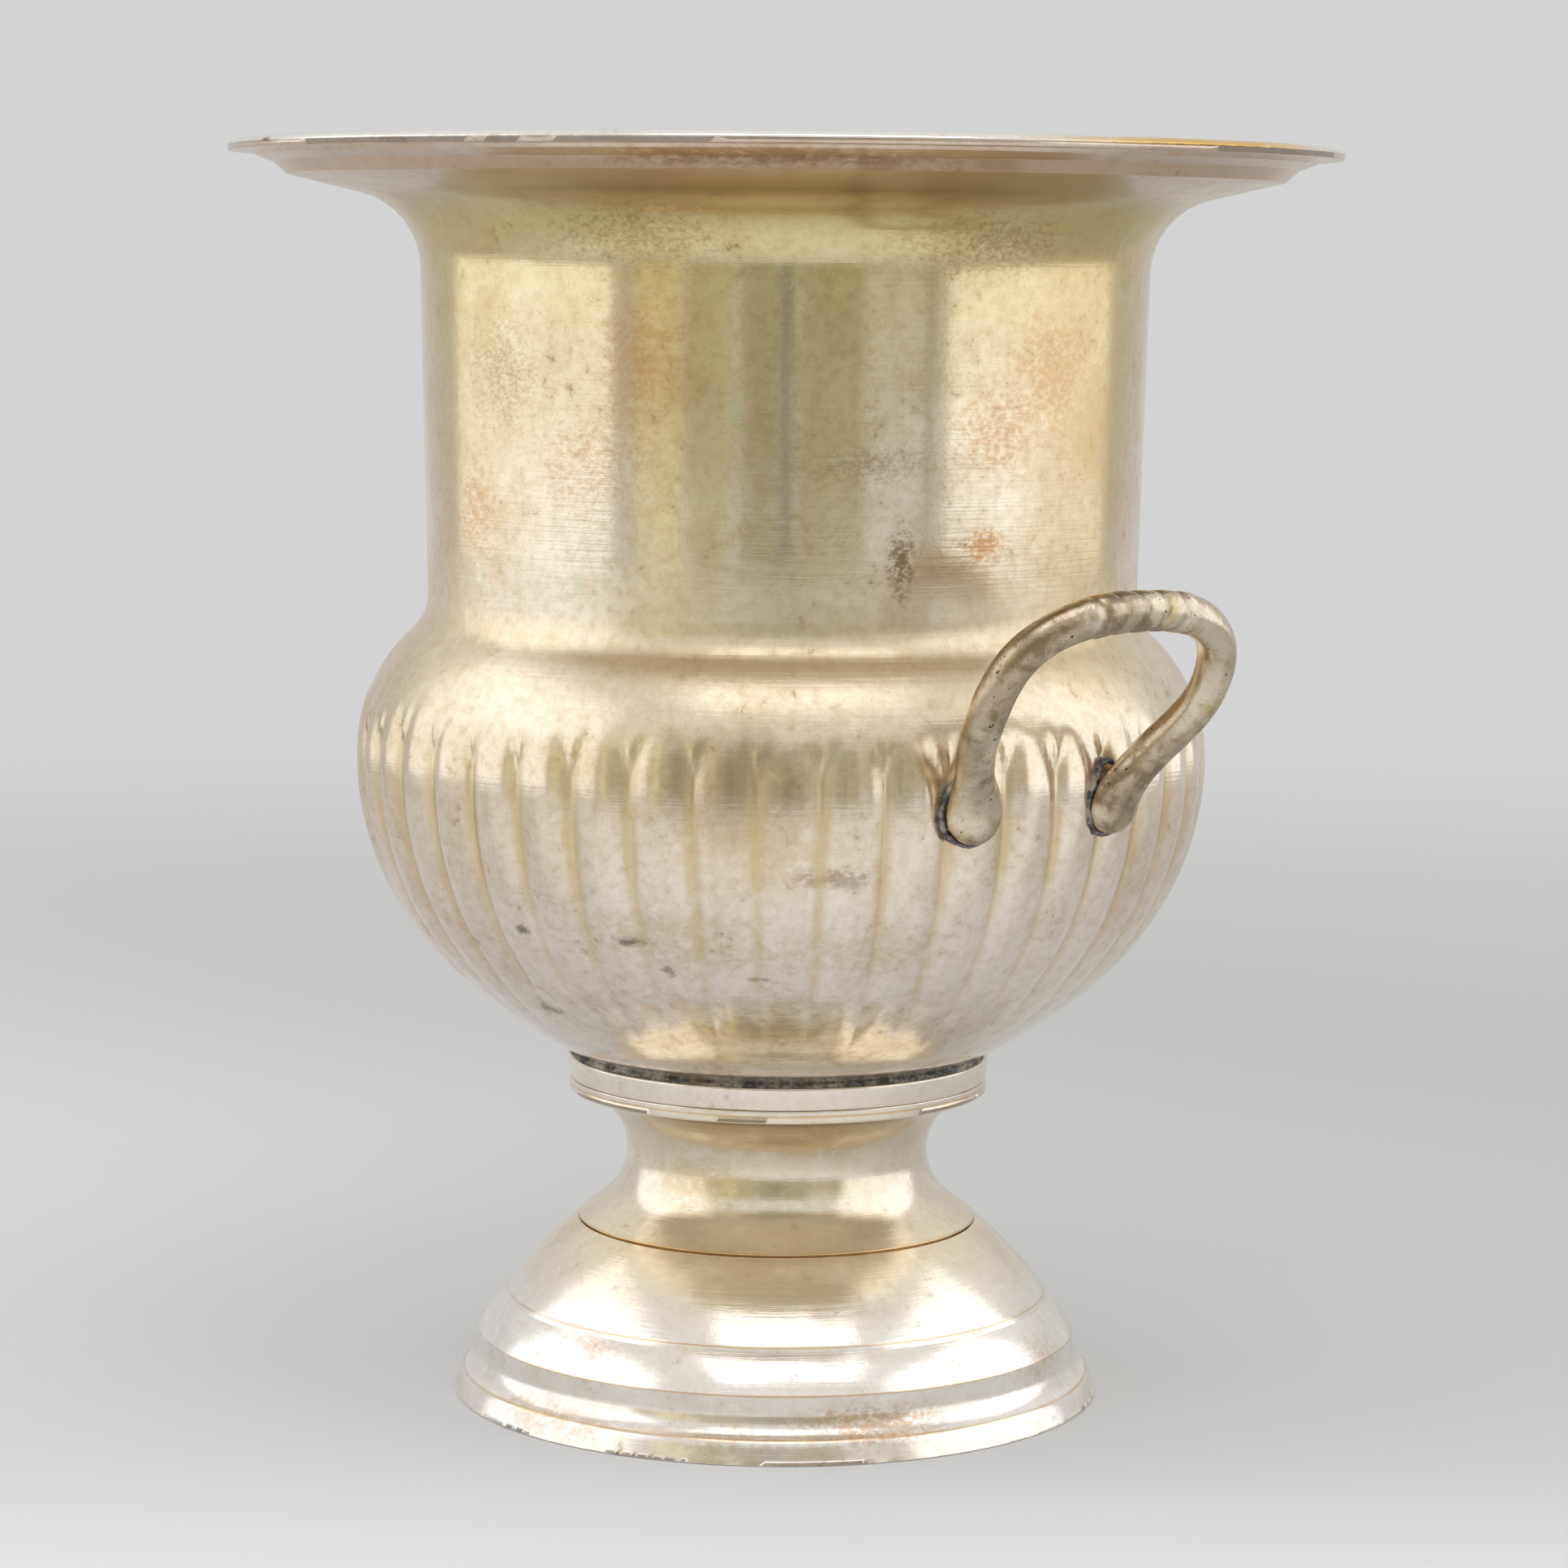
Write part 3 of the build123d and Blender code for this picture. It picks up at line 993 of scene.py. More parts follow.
    def stem(self, finish: bpy.types.Material) -> None:
        """Builds the stem: the slope above the lap, the arc of the waist and the rounded upper flange."""
        waist = arc(self.waist, self.waist_radius, 270 - self.lap_angle, 180 - self.flange_angle, 34)
        top = self.collar_top - self.collar_height
        corner = np.array((waist[-1], (self.flange, waist[-1][1]), (self.flange, top)))
        outer = np.vstack((self.lap, waist, rounded(corner, self.flange_round, 6)[1:]))
        self._turn_sheet("stem", fill(outer, 1.2), finish, "foot_stem", 31)

    def dome(self, finish: bpy.types.Material) -> None:
        """Builds the stepped foot: lip, skirt, upright band, bulged middle and the dome under the stem."""
        top, middle, low = (np.array(ring) for ring in self.rings)
        lip = low + (self.ring_step, -self.ring_step)
        skirt_top = middle - (0, self.band)
        skirt = self._quarter(low, skirt_top, np.array((0.0, 1.0)))
        step = top + (self.ring_step, -self.ring_drop)
        bulge = self._bulge(middle, step, self.ring_bulge)
        tip = np.array(self._under_lap(self.lap[0] + self.lap_step, self.lap_step))
        slope = np.array((-1.0, math.tan(math.radians(self.lap_angle))))
        crown = self._quarter(top, tip, slope / np.linalg.norm(slope))
        tongue = [self._under_lap(self.lap[0] - back, self.sheet) for back in (0, self.lap_length)]
        outer = np.vstack(((self.edge, 0.0), lip, skirt, bulge, crown, tongue))
        self._turn_sheet("stepped_foot", fill(outer, 1.2), finish, "foot_dome", 41)

    @staticmethod
    def _quarter(start: np.ndarray, end: np.ndarray, leave: np.ndarray) -> np.ndarray:
        """Points of the arc from start to end that leaves the end in a given direction.

        Its centre is on the end's normal, at (chord . chord) / (2 chord . normal) from the end.

        Args:
            start: first point.
            end: last point.
            leave: unit direction of travel at the end.

        Returns:
            Fifteen points, the first and the last included.
        """
        chord = start - end
        normal = np.array((-leave[1], leave[0]))
        radius = (chord @ chord) / (2 * (chord @ normal))
        centre = end + normal * radius
        first, last = (math.atan2(*(point - centre)[::-1]) for point in (start, end))
        swing = (last - first + math.pi) % (2 * math.pi) - math.pi
        return arc(tuple(centre), abs(radius), math.degrees(first), math.degrees(first + swing), 15)

    @staticmethod
    def _bulge(start: np.ndarray, end: np.ndarray, height: float) -> np.ndarray:
        """A shallow bow between two points: the chord plus 4t(1-t) of a height on its right."""
        t = np.linspace(0, 1, 9)[:, None]
        along = (end - start) / np.linalg.norm(end - start)
        return start + (end - start) * t + 4 * t * (1 - t) * height * np.array((along[1], -along[0]))

    def collar_solder(self, finish: bpy.types.Material) -> None:
        """Builds the lumpy ring of solder in the corner between the collar's top and the bowl.

        Its outer face is a quarter ellipse, moved along its normal by lumps of two sizes. Its other three
        points lie hidden, a little inside the bowl and under the collar's top.
        """
        count, columns = 7, 540
        t = np.linspace(0, np.pi / 2, count)
        width, rise, sunk = self.collar - 0.5 - self.seat, 2.0, self.collar_top - 0.3
        curve = np.column_stack((self.seat + width * np.cos(t), self.collar_top + rise * np.sin(t)))
        inside = self.seat - 0.7
        hidden = ((inside, self.collar_top + 0.8), (inside, sunk), (self.collar - 0.6, sunk))
        line = np.vstack((curve, hidden))
        turn = ring_angles(columns)[None, :]
        lump = 0.5 + 0.5 * ripple(turn, line[:, 1:] * 0.5, (9, 70), 4.0, 51)
        lump = lump + 0.35 * ripple(turn, line[:, 1:] * 0.9, (60, 180), 6.0, 52)
        shown = np.arange(len(line))[:, None] < count
        lift = (-1.05 + 1.1 * lump) * shown
        piece = loft("collar_joint", turned_rings(line, columns, lift), looped=True)
        finish_piece(piece, finish, ("collar_solder",))

    def seam_solder(self, finish: bpy.types.Material) -> None:
        """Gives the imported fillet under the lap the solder's finish."""
        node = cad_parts["seam_solder"]
        node.data.materials.clear()
        node.data.materials.append(finish)
        LOG.info("seam_solder: packed node kept")


@dataclass
class Handle:
    """A cast handle: a bent bar with twisted knuckles on its grip and a flattened lug at each end.

    Attributes:
        vessel: the vessel that it is soldered to.
        side: name of the side that it is on.
        turn: degrees round the axis from +x.
        bar: radius of the bar.
        lug, pad: radius of the lugs seen from outside, and half their thickness.
        lug_end: length of the lugs' rounded ends.
        lug_length, lug_blend: where the lugs start to turn into the bar, and over what length they do.
        spread, lug_height: distance of the lugs from the handle's middle plane, and their height.
        half: the bar's centres from a lug to the grip, as (aside, outwards, upwards) from the lug's centre.
        top: (outwards, upwards) of the grip's middle.
        knuckles, pitch, groove: number of knuckles, their spacing, and the width of the grooves between.
        columns: grid columns round the bar.
        bead_below, bead_above: reach of the solder below and above a lug's centre.
    """

    vessel: Vessel
    side: str
    turn: float
    bar: float = 3.65
    lug: float = 5.9
    pad: float = 2.9
    lug_end: float = 3.6
    lug_length: float = 6.0
    lug_blend: float = 10.0
    spread: float = 16.4
    lug_height: float = 126.7
    half: tuple = (
        (-0.3, 0.15, -5.7),
        (-0.1, 0.9, -2.6),
        (0.6, 1.7, 1.2),
        (2.2, 3.7, 5.4),
        (4.8, 7.2, 10.5),
        (8.8, 15.7, 20.4),
        (6.6, 22.3, 31.0),
        (-3.4, 26.4, 37.3),
    )
    top: tuple = (26.5, 38.6)
    knuckles: int = 5
    pitch: float = 4.7
    groove: float = 0.75
    columns: int = 48
    bead_below: float = 6.0
    bead_above: float = 8.0

    def _foot(self) -> float:
        """Distance of the lugs' centres along x."""
        return math.sqrt(self.vessel.outer_radius(self.lug_height) ** 2 - self.spread**2)

    def _place(self, rings: np.ndarray) -> np.ndarray:
        """Turns points from the +x side to the handle's own side."""
        cos, sin = math.cos(math.radians(self.turn)), math.sin(math.radians(self.turn))
        return rings @ np.array(((cos, sin, 0), (-sin, cos, 0), (0, 0, 1)))

    def path(self) -> np.ndarray:
        """Centre line from the lug on the handle's own -y, over the grip, to the other."""
        side, out, up = np.array(self.half).T
        front = np.column_stack((self._foot() + out, -(self.spread + side), self.lug_height + up))
        back = front[::-1] * (1, -1, 1)
        middle = np.array([(self._foot() + self.top[0], 0.0, self.lug_height + self.top[1])])
        return smooth_path(np.vstack((front, middle, back)), 0.45)

    def casting(self, finish: bpy.types.Material) -> None:
        """Builds the bar and lugs as one skin carried along the path.

        A ring's point is centre + thick * cos(q) * N + wide * sin(q) * B. N is the part of the handle's own
        normal at right angles to the path, and B is the path's direction crossed with N. On the lugs the
        width follows a circle's half chord, and the half towards the bowl is only as thick as reaches the
        sheet. The knuckles stand between grooves, exp(-(d / width)^2) at a distance d from lines that lean
        round the grip.
        """
        centre = self.path()
        along = np.gradient(centre, axis=0)
        along /= np.linalg.norm(along, axis=1, keepdims=True)
        face = np.array((self.top[1], 0.0, -self.top[0]))
        face /= np.linalg.norm(face)
        normal = face - (along @ face)[:, None] * along
        normal /= np.linalg.norm(normal, axis=1, keepdims=True)
        across = np.cross(along, normal)
        run = np.concatenate(([0], np.cumsum(np.linalg.norm(np.diff(centre, axis=0), axis=1))))
        near = np.minimum(run, run[-1] - run)
        blend = smoothstep((near - self.lug_length) / self.lug_blend)
        wide, thick = (
            np.sqrt(np.clip(1 - (1 - np.clip(near / length, 0, 1)) ** 2, 0, 1)) * size * (1 - blend)
            + self.bar * blend
            for length, size in ((self.lug, self.lug), (self.lug_end, self.pad))
        )
        bowl = np.interp(centre[:, 2], *self.vessel.below_neck())
        gap = np.hypot(centre[:, 0], centre[:, 1]) - bowl
        inward = np.minimum(thick, np.maximum(gap, 0) + 0.55)
        q = ring_angles(self.columns)[None, :]
        grip = run[:, None] - run[-1] / 2
        reach = self.knuckles * self.pitch / 2
        phase = grip / self.pitch + 0.55 * np.sin(q - 0.6) * 0.8 + self.knuckles / 2
        groove = np.exp(-(((phase - np.round(phase)) * self.pitch / self.groove) ** 2))
        inside = smoothstep((reach + 1.5 - np.abs(grip)) / 2.0)
        groove = groove * inside
        rough = 0.10 * ripple(q, run[:, None] / 9, (1, 4), 2.0, 61) * (near > self.lug_length)[:, None]
        swell = 1 + (0.06 * inside - 0.085 * groove + rough * 0.5)
        facing = np.cos(q)
        deep = np.where(facing > 0, thick[:, None], inward[:, None])
        skin = deep * facing * swell
        rings = centre[:, None] + skin[..., None] * normal[:, None]
        rings = rings + (wide[:, None] * np.sin(q) * swell)[..., None] * across[:, None]
        piece = loft(f"cast_handle_{self.side}", self._place(rings), hollow=groove * 0.5)
        finish_piece(piece, finish, (f"handle_{self.side}",))

    def joints(self, finish: bpy.types.Material) -> None:
        """Builds the bead of solder round each lug.

        The bead's centre follows a teardrop on the bowl: w cos(b) across, with w narrower upwards, and
        bead_below * sin(b) or bead_above * sin(b) from the lug's centre. Its radius swells and thins along
        the way and is largest towards the handle's own -y. The piece on -y is at the front on the right
        handle and at the back on the left one, which is turned half round.
        """
        count, columns = 150, 14
        b = ring_angles(count)
        front = -1 if math.cos(math.radians(self.turn)) > 0 else 1
        for index, (name, direction) in enumerate((("front", front), ("back", -front))):
            swell = ripple(b, b * 0, (2, 9), 0, 71 + index) + 0.5 * ripple(b, b * 0, (9, 30), 0, 81 + index)
            heavy = 0.5 - 0.5 * np.cos(b)
            radius = np.clip(0.30 + 0.40 * heavy + 0.28 * swell * (0.3 + heavy), 0.16, 0.9)
            up = np.sin(b)
            rise = np.where(up > 0, self.bead_above, self.bead_below) * up
            narrow = 1 - 0.30 * smoothstep(up)
            offset = (self.lug + 0.1) * narrow * np.cos(b)
            height = self.lug_height + rise
            bowl = np.interp(height, *self.vessel.below_neck()) - 0.1
            lug_angle = direction * math.asin(self.spread / self.vessel.outer_radius(self.lug_height))
            lean = direction * 0.0072 * (rise + self.bead_below)
            angle = lug_angle + (offset + lean) / bowl
            centre = np.column_stack((bowl * np.cos(angle), bowl * np.sin(angle), height))
            outwards = np.column_stack((np.cos(angle), np.sin(angle), 0 * angle))
            along = np.roll(centre, -1, axis=0) - np.roll(centre, 1, axis=0)
            along /= np.linalg.norm(along, axis=1, keepdims=True)
            across = np.cross(along, outwards)
            q = ring_angles(columns)[None, :, None]
            bead = 1.15 * np.cos(q) * outwards[:, None] + np.sin(q) * across[:, None]
            rings = centre[:, None] + radius[:, None, None] * bead
            piece = loft(f"lug_joint_{self.side}_{name}", self._place(rings), looped=True)
            finish_piece(piece, finish, (f"lug_solder_{self.side}_{name}",))


# ---- stage ---------------------------------------------------------------------------


@dataclass(frozen=True)
class Studio:
    """A pale floor that melts into a pale backdrop, with three soft lights and six plain boards.

    Two tall lights stand left and right of the camera's line and one hangs above. The boards stand on the
    camera's side, where only reflections show them.

    Attributes:
        backdrop: colour behind the bucket.
        far_wall, near_wall, ceiling: what the metal reflects behind the bucket, in front of it and above.
        floor_level: height of the floor in metres, just clear of the foot.
        floor_far, floor_near: the floor's own two close tones.
        floor_painted_shade, floor_painted_light: painted shade on the floor's far side, away from the camera,
            and a painted pool of light on its side towards the camera.
        box_width, box_height, box_distance, box_angles, box_glow: the tall lights, in metres and degrees.
        tint: colour of the lights.
        top_glow, top_size, top_height: the upper light.
        board_distance, board_height: where the boards stand, in metres.
        boards: name, degrees right of the camera, width and the grey of each board's glow.
        lens, shift: the camera's focal length in millimetres, and its sideways shift.
        distance, eye_height, pitch, roll: where the camera stands in metres, and its tilts in degrees.
    """

    backdrop: tuple = srgb(211, 211, 211)
    far_wall: tuple = srgb(210, 210, 210)
    near_wall: tuple = srgb(198, 191, 168)
    ceiling: tuple = srgb(240, 240, 240)
    floor_level: float = -0.00005
    floor_far: tuple = srgb(210, 210, 210)
    floor_near: tuple = srgb(215, 215, 215)
    # painted shade: the floor's darker tone on its far side, standing in for the shade behind the bucket
    floor_painted_shade: tuple = srgb(182, 182, 178)
    # painted light: the floor's paler tone on the side towards the camera
    floor_painted_light: tuple = srgb(238, 238, 238)
    box_width: float = 1.8
    box_height: float = 1.6
    box_distance: float = 1.3
    box_angles: tuple = (("left_box", -88.0), ("right_box", 85.5))
    box_glow: float = 0.81
    tint: tuple = (0.92, 0.97, 1.06)
    top_glow: float = 1.28
    top_size: tuple[float, float] = (1.6, 1.2)
    top_height: float = 2.0
    board_distance: float = 0.96
    board_height: float = 0.62
    boards: tuple = (
        ("board_a", -38.0, 0.24, 236),
        ("board_b", -22.5, 0.22, 194),
        ("board_c", -7.5, 0.18, 172),
        ("board_d", 0.6, 0.045, 90),
        ("board_e", 14.0, 0.34, 180),
        ("board_f", 44.0, 0.022, 104),
    )
    lens: float = 102.9
    distance: float = 0.89503
    eye_height: float = 0.22805
    pitch: float = 6.704
    roll: float = 0.55
    shift: float = 0.00233

    @staticmethod
    def _aside(angle: float, distance: float, height: float) -> Vector:
        """Point at an angle to the right of the camera, seen from the axis."""
        turn = math.radians(CAMERA_AZIMUTH + angle)
        return Vector((math.sin(turn) * distance, -math.cos(turn) * distance, height))

    def camera(self) -> None:
        """Stands the camera and makes it the scene's."""
        data = bpy.data.cameras.new("camera")
        data.lens, data.sensor_width, data.shift_x = self.lens, 36.0, self.shift
        data.clip_start, data.clip_end = 0.01, 100.0
        camera = bpy.data.objects.new("camera", data)
        tilt = Matrix.Rotation(math.radians(90 - self.pitch), 4, "X")
        roll = Matrix.Rotation(math.radians(self.roll), 4, "Z")
        turn = Matrix.Rotation(math.radians(CAMERA_AZIMUTH), 4, "Z")
        place = Matrix.Translation(self._aside(0, self.distance, self.eye_height))
        camera.matrix_world = place @ turn @ tilt @ roll
        bpy.context.scene.collection.objects.link(camera)
        bpy.context.scene.camera = camera

    def _softbox(
        self, name: str, place: Vector, target: Vector, size: tuple[float, float], glow: float
    ) -> None:
        """Stands a rectangular light of an even glow, facing a target.

        Args:
            name: its name.
            place: its centre.
            target: the point that it faces.
            size: width and height in metres.
            glow: radiance; the power is the radiance times pi times the area.
        """
        data = bpy.data.lights.new(name, "AREA")
        data.shape, data.size, data.size_y = "RECTANGLE", size[0], size[1]
        data.energy = glow * math.pi * size[0] * size[1]
        data.color = self.tint
        light = bpy.data.objects.new(name, data)
        light.location = place
        light.rotation_euler = (target - place).to_track_quat("-Z", "Y").to_euler()
        light.visible_camera = False
        bpy.context.scene.collection.objects.link(light)

    def lights(self) -> None:
        """Stands the soft lights."""
        middle, size = self.box_height / 2, (self.box_width, self.box_height)
        for name, angle in self.box_angles:
            place = self._aside(angle, self.box_distance, middle)
            self._softbox(name, place, Vector((0, 0, middle)), size, self.box_glow)
        above = self._aside(8, 0.7, self.top_height)
        self._softbox("top_box", above, Vector((0, 0, 0)), self.top_size, self.top_glow)

    def room(self) -> None:
        """Sets the world: one colour for the camera, and for reflections dimmer towards the camera."""
        world = bpy.data.worlds.new("room")
        bpy.context.scene.world = world
        world.use_nodes = True
        graph = Graph(world.node_tree)
        direction = graph.value("ShaderNodeTexCoord", "Generated")
        facing = self._towards(graph, direction, 0)
        upward = graph.value("ShaderNodeSeparateXYZ", 2, None, {0: direction})
        level = graph.mix(facing.above(-0.3, 0.6), self.far_wall, self.near_wall)
        seen = graph.mix(upward.above(0.16, 0.6), level, self.ceiling)
        ray = graph.value("ShaderNodeLightPath", "Is Camera Ray")
        colour = graph.mix(ray, seen, self.backdrop)
        shader = graph.value("ShaderNodeBackground", 0, None, {0: colour})
        graph.node("ShaderNodeOutputWorld", None, {0: shader})

    def _towards(self, graph: Graph, place: Value, angle: float) -> Value:
        """How far a place or direction reaches towards an angle to the right of the camera."""
        return graph.vector("DOT_PRODUCT", place, tuple(self._aside(angle, 1, 0)), output="Value")

    @staticmethod
    def _stage_piece(name: str, points: list, faces: list, finish: bpy.types.Material) -> bpy.types.Object:
        """Adds a plain mesh to the scene.

        Args:
            name: its name.
            points: coordinates in metres.
            faces: numbers of each face's points.
            finish: its material.

        Returns:
            The new object.
        """
        mesh = bpy.data.meshes.new(name)
        mesh.from_pydata(points, [], faces)
        mesh.validate()
        mesh.materials.append(finish)
        piece = bpy.data.objects.new(name, mesh)
        bpy.context.scene.collection.objects.link(piece)
        return piece

    def floor(self) -> None:
        """Lays a round floor whose finish goes from lit white to the backdrop's own glow with distance, with
        painted shade on its far side and painted light towards the camera.

        Its rings lie close together as far as 1 m out and wide apart beyond, up to 12 m.
        """
        columns = 96
        reach = np.concatenate((np.linspace(0, 1, 9), np.linspace(1.5, 12, 12)))[:, None]
        turn = ring_angles(columns)[None, :]
        flat = np.full((len(reach), columns), self.floor_level)
        points = np.stack((reach * np.cos(turn), reach * np.sin(turn), flat), axis=-1).reshape(-1, 3)
        row, column = np.arange(len(reach) - 1)[:, None] * columns, np.arange(columns)[None, :]
        after = (column + 1) % columns
        quads = np.stack((row + column, row + columns + column, row + columns + after, row + after), axis=-1)
        material, graph = blank_finish("studio_floor")
        place = graph.place()
        away = graph.vector("LENGTH", place, output="Value")
        colour = graph.mix(graph.noise(place, 3, 3, 0.5), self.floor_far, self.floor_near)
        # painted shade on the floor's far side, away from the camera
        colour = graph.mix(self._towards(graph, place, 140).above(-0.15, 0.5), colour, self.floor_painted_shade)
        # painted light: a paler pool on the floor towards the camera
        colour = graph.mix(self._towards(graph, place, 0).above(0.05, 0.25), colour, self.floor_painted_light)
        sockets = {"Base Color": colour, "Roughness": 0.7, "Specular IOR Level": 0.1}
        lit = graph.value("ShaderNodeBsdfPrincipled", 0, None, sockets)
        glow = graph.value("ShaderNodeEmission", 0, None, {0: self.backdrop})
        shader = graph.value("ShaderNodeMixShader", 0, None, {0: away.above(0.2, 1.3), 1: lit, 2: glow})
        graph.node("ShaderNodeOutputMaterial", None, {0: shader})
        floor = self._stage_piece("floor", points.tolist(), quads.reshape(-1, 4).tolist(), material)

    def stands(self) -> None:
        """Stands upright glowing boards of several warm greys on the camera's side: painted light that shows
        only in the metal's reflections.
        """
        half = self.board_height / 2
        up = Vector((0, 0, half))
        for name, angle, width, grey in self.boards:
            material, graph = blank_finish(name)
            # the board's own glow: painted light, hidden from the camera and seen only in reflections
            shader = graph.value("ShaderNodeEmission", 0, None, {0: srgb(grey, grey * 0.98, grey * 0.84)})
            graph.node("ShaderNodeOutputMaterial", None, {0: shader})
            centre = self._aside(angle, self.board_distance, half)
            left = centre - self._aside(angle + 90, width / 2, 0)
            right = centre + self._aside(angle + 90, width / 2, 0)
            corners = [tuple(corner) for corner in (left - up, right - up, right + up, left + up)]
            board = self._stage_piece(name, corners, [(0, 1, 2, 3)], material)
            board.visible_camera = board.visible_diffuse = board.visible_shadow = False


# ---- tones and marks: (height in millimetres, value) pairs, and stains placed by angle and height ----

VESSEL_TONES = (
    (0, srgb(238, 230, 220)),
    (62, srgb(238, 230, 220)),
    (92, srgb(237, 227, 216)),
    (112, srgb(236, 223, 208)),
    (132, srgb(236, 220, 200)),
    (150, srgb(230, 214, 188)),
    (156, srgb(230, 213, 184)),
    (161, srgb(236, 222, 202)),
    (188, srgb(238, 224, 202)),
    (222, srgb(228, 212, 174)),
    (236, srgb(206, 188, 134)),
    (242, srgb(196, 170, 144)),
    (246, srgb(200, 172, 152)),
    (250, srgb(232, 222, 212)),
)
VESSEL_MATTE = (
    (0, 0.0),
    (92, 0.0),
    (106, 0.05),
    (128, 0.05),
    (143, 0.17),
    (152, 0.20),
    (165, 0.20),
    (174, 0.02),
    (220, 0.01),
    (236, 0.10),
)
# Tones of the foot by height: mostly the plate's own tone, but the paler stop at 11 mm is painted reflection.
FOOT_TONES_AND_PAINTED_REFLECTION = (
    (0, srgb(240, 232, 222)),
    # painted reflection: the upright band's paler tone stands in for the bright floor that the band mirrors
    (11, srgb(247, 243, 238)),
    (22, srgb(242, 236, 227)),
    (34, srgb(238, 220, 190)),
    (42, srgb(234, 222, 202)),
    (58, srgb(230, 215, 194)),
    (70, srgb(240, 234, 224)),
)
VESSEL_MARKS = (
    Mark(-22, 232, 64, 22, Blemish.UMBER, 0.40, 0.7, 0.30),
    Mark(32, 231, 64, 18, Blemish.UMBER, 0.45, 0.7, 0.34),
    Mark(-2, 245.5, 90, 5, Blemish.UMBER, 0.60, 1.6, 0.50),
    Mark(-60, 195, 56, 130, Blemish.OCHRE, 0.42, 9.0, 0.8),
    Mark(53, 200, 52, 130, Blemish.OCHRE, 0.55, 7.0, 0.9),
    Mark(-19, 212, 30, 46, Blemish.RUST, 0.16, 4.0, 0.8),
    Mark(-22, 208, 28, 44, Blemish.RUST, 0.36, 1.1, 0.36),
    Mark(-30, 190, 46, 30, Blemish.RUST, 0.40, 0.8, 0.30),
    Mark(34, 196, 30, 26, Blemish.RUST, 0.50, 1.0, 0.38),
    Mark(44, 207, 36, 40, Blemish.RUST, 0.40, 0.9, 0.36),
    Mark(56, 196, 16, 26, Blemish.OCHRE, 0.55, 2.0, 0.8),
    Mark(32, 175, 12, 10, Blemish.RUST, 0.80, 0.8, 0.50),
    Mark(18, 172, 8, 20, Blemish.UMBER, 0.80, 0.9, 0.42),
    Mark(-55, 180, 20, 30, Blemish.RUST, 0.45, 1.0, 0.42),
    Mark(14, 190, 40, 12, Blemish.UMBER, 0.40, 0.7, 0.28),
    Mark(-48, 206, 40, 40, Blemish.UMBER, 0.35, 0.7, 0.26),
    Mark(-5, 131, 34, 26, Blemish.UMBER, 0.30, 3.4, 0.8),
    Mark(-3, 120, 40, 26, Blemish.OCHRE, 0.35, 2.2, 0.7),
    Mark(7, 115, 24, 6, Blemish.UMBER, 0.50, 1.0, 0.5),
    Mark(-15, 103, 44, 22, Blemish.OCHRE, 0.35, 1.8, 0.5),
    Mark(10, 100, 60, 16, Blemish.OCHRE, 0.28, 1.6, 0.45),
    Mark(-38.3, 102, 4, 4, Blemish.SLATE, 0.75, 1.0, 0.6),
    Mark(-21, 101.5, 11, 2.6, Blemish.SLATE, 0.75, 1.0, 0.6),
    Mark(-16, 96, 4.5, 4.5, Blemish.SLATE, 0.55, 1.0, 0.5),
    Mark(-3, 94.7, 6, 1.4, Blemish.SLATE, 0.6, 1.0, 0.6),
    Mark(-51, 97.5, 5, 3, Blemish.SLATE, 0.6, 1.0, 0.5),
    Mark(-43, 84, 8, 4, Blemish.SLATE, 0.7, 1.2, 0.6),
    Mark(-54, 167, 4, 5, Blemish.PALE, 0.6, 1.0, 0.6),
    Mark(-32, 167, 4, 5, Blemish.PALE, 0.7, 1.0, 0.7),
    Mark(-7, 200, 5, 7, Blemish.PALE, 0.5, 3.0, 1.0),
)
WIRE_MARKS = (
    Mark(45, 249, 92, 10, Blemish.BRASS, 0.95, 3.0, 0.85),
    Mark(46, 248.6, 70, 1.2, Blemish.UMBER, 0.8, 2.0, 0.6),
    Mark(-62, 248.8, 5, 1.6, Blemish.UMBER, 0.9, 3.0, 1.0),
    Mark(-30, 248.6, 120, 1.2, Blemish.UMBER, 0.4, 2.0, 0.5),
)
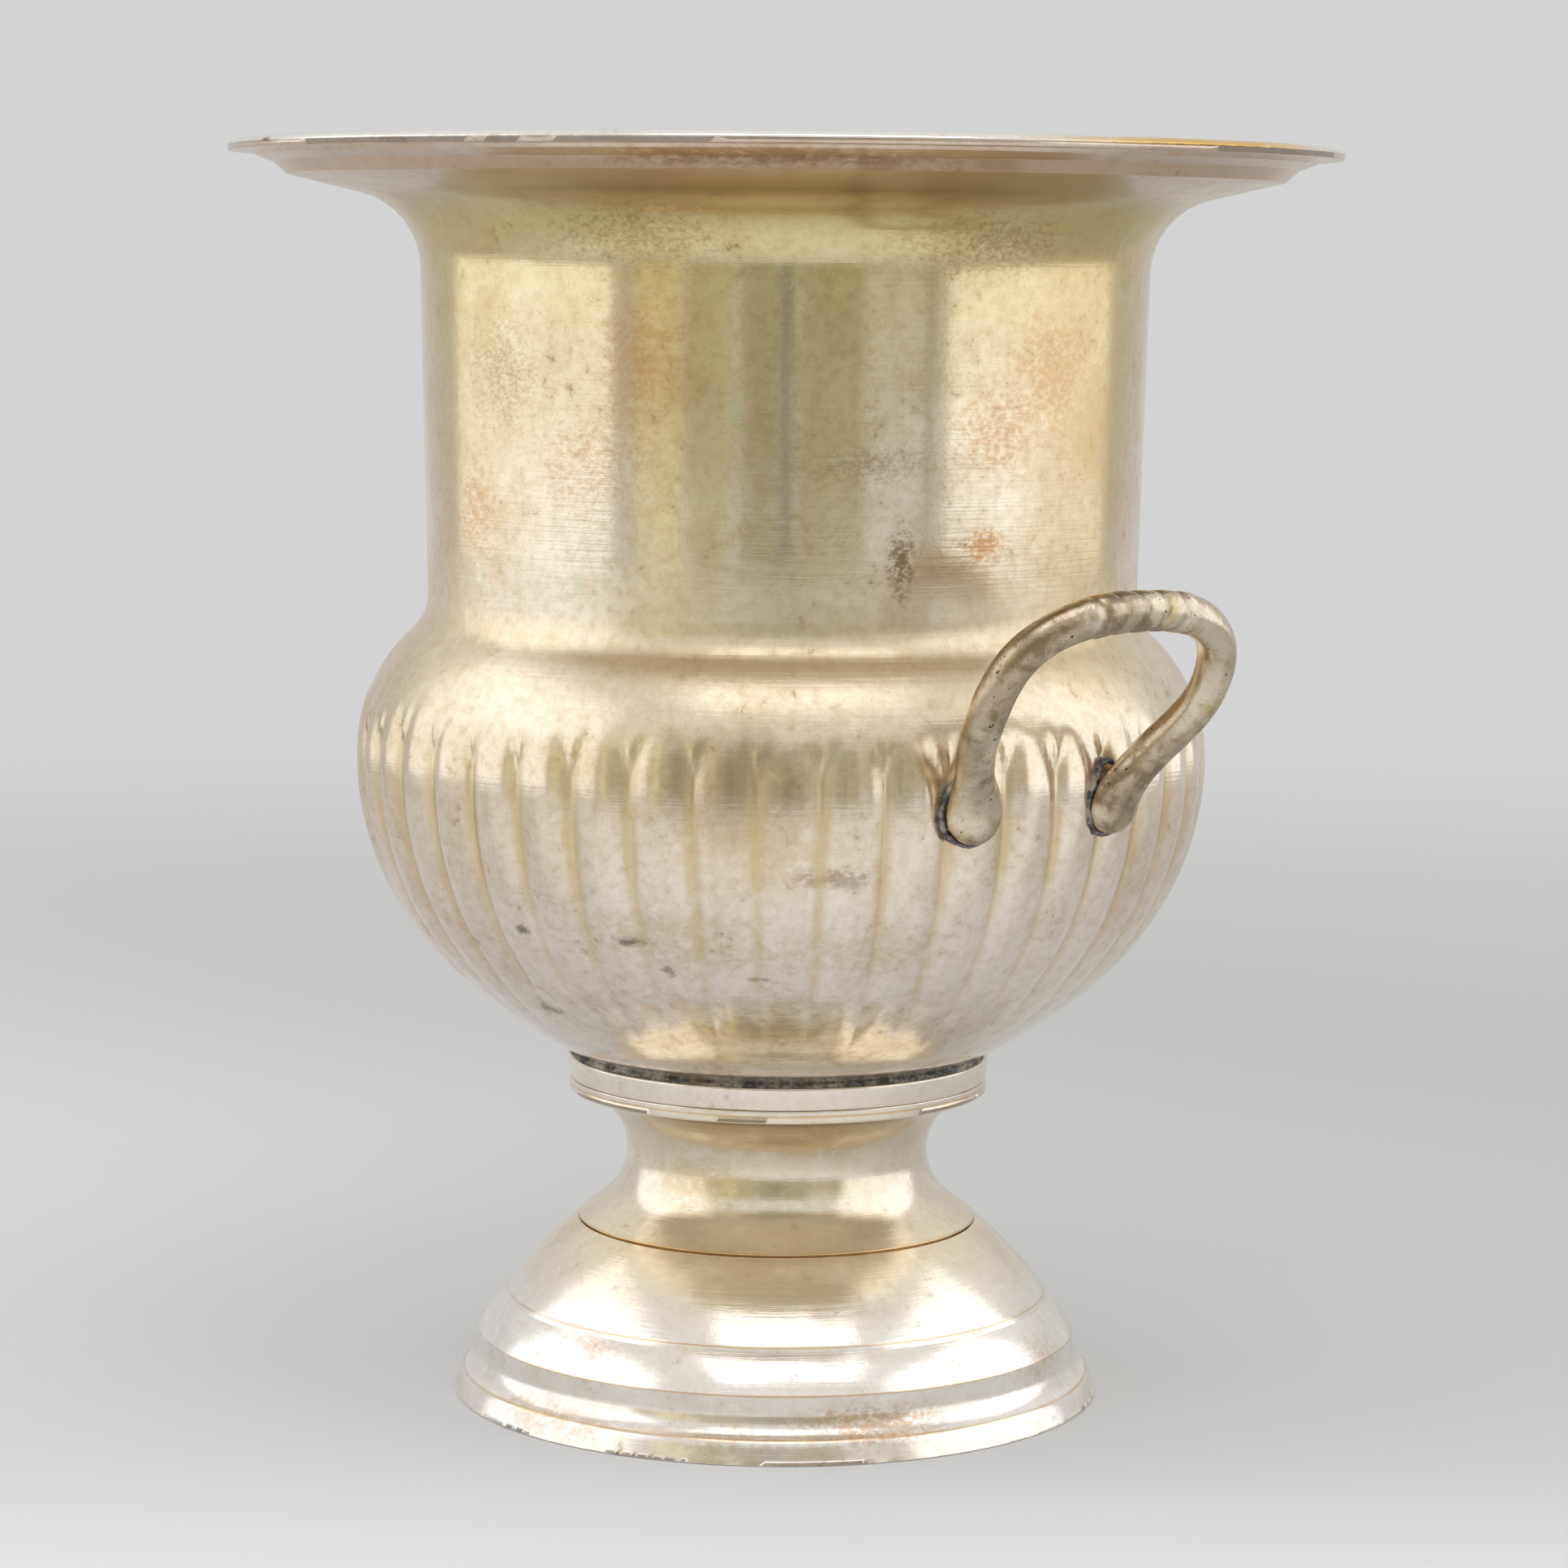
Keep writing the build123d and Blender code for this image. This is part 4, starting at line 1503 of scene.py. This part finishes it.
FOOT_MARKS = (
    Mark(-30, 47, 30, 16, Blemish.OCHRE, 0.45, 2.2, 0.6),
    Mark(10, 56, 50, 12, Blemish.OCHRE, 0.40, 2.0, 0.6),
    Mark(-38, 18, 20, 6, Blemish.RUST, 0.40, 1.0, 0.45),
    Mark(18, 6.5, 46, 11, Blemish.RUST, 0.60, 0.9, 0.45),
    Mark(-42, 4.5, 44, 9, Blemish.RUST, 0.40, 1.4, 0.5),
    Mark(-8, 4, 30, 8, Blemish.RUST, 0.30, 1.2, 0.4),
    Mark(0, 30, 34, 8, Blemish.OCHRE, 0.35, 3.0, 0.8),
    Mark(60, 12, 30, 14, Blemish.RUST, 0.35, 1.0, 0.4),
)


def main() -> None:
    """Builds the bucket, its finishes and its stage."""
    logging.basicConfig(level=logging.INFO, format="%(name)s: %(message)s")
    vessel, foot = Vessel(), Foot()
    plate = WornPlate(
        "worn_plate",
        VESSEL_TONES,
        cloudiness=0.42,
        gloss=0.07,
        haze=0.12,
        matte=VESSEL_MATTE,
        marks=VESSEL_MARKS,
        surface=vessel,
    ).build()
    foot_plate = WornPlate(
        "foot_plate",
        FOOT_TONES_AND_PAINTED_REFLECTION,
        cloudiness=0.25,
        specks=0.3,
        gloss=0.14,
        haze=0.16,
        edges=((62.9, 0.3), (35.2, 0.35), (20.3, 0.22), (12.3, 0.22), (4.4, 0.25)),
        marks=FOOT_MARKS,
        surface=foot,
    ).build()
    wire_plate = WornPlate(
        "wire_plate",
        ((0, srgb(236, 232, 226)), (250, srgb(238, 234, 228))),
        cloudiness=0.2,
        gloss=0.16,
        marks=WIRE_MARKS,
        surface=vessel,
    ).build()
    cast = CastMetal().build()
    solder = Solder().build()

    vessel.bowl(plate)
    vessel.border(wire_plate)
    foot.collar_ring(foot_plate)
    foot.stem(foot_plate)
    foot.dome(foot_plate)
    foot.collar_solder(solder)
    foot.seam_solder(solder)
    for handle in (Handle(vessel, "right", 3.25), Handle(vessel, "left", 176.75)):
        handle.casting(cast)
        handle.joints(solder)

    studio = Studio()
    studio.camera()
    studio.lights()
    studio.room()
    studio.floor()
    studio.stands()
    bpy.context.scene.view_settings.view_transform = "Standard"


if __name__ == "__main__":
    main()
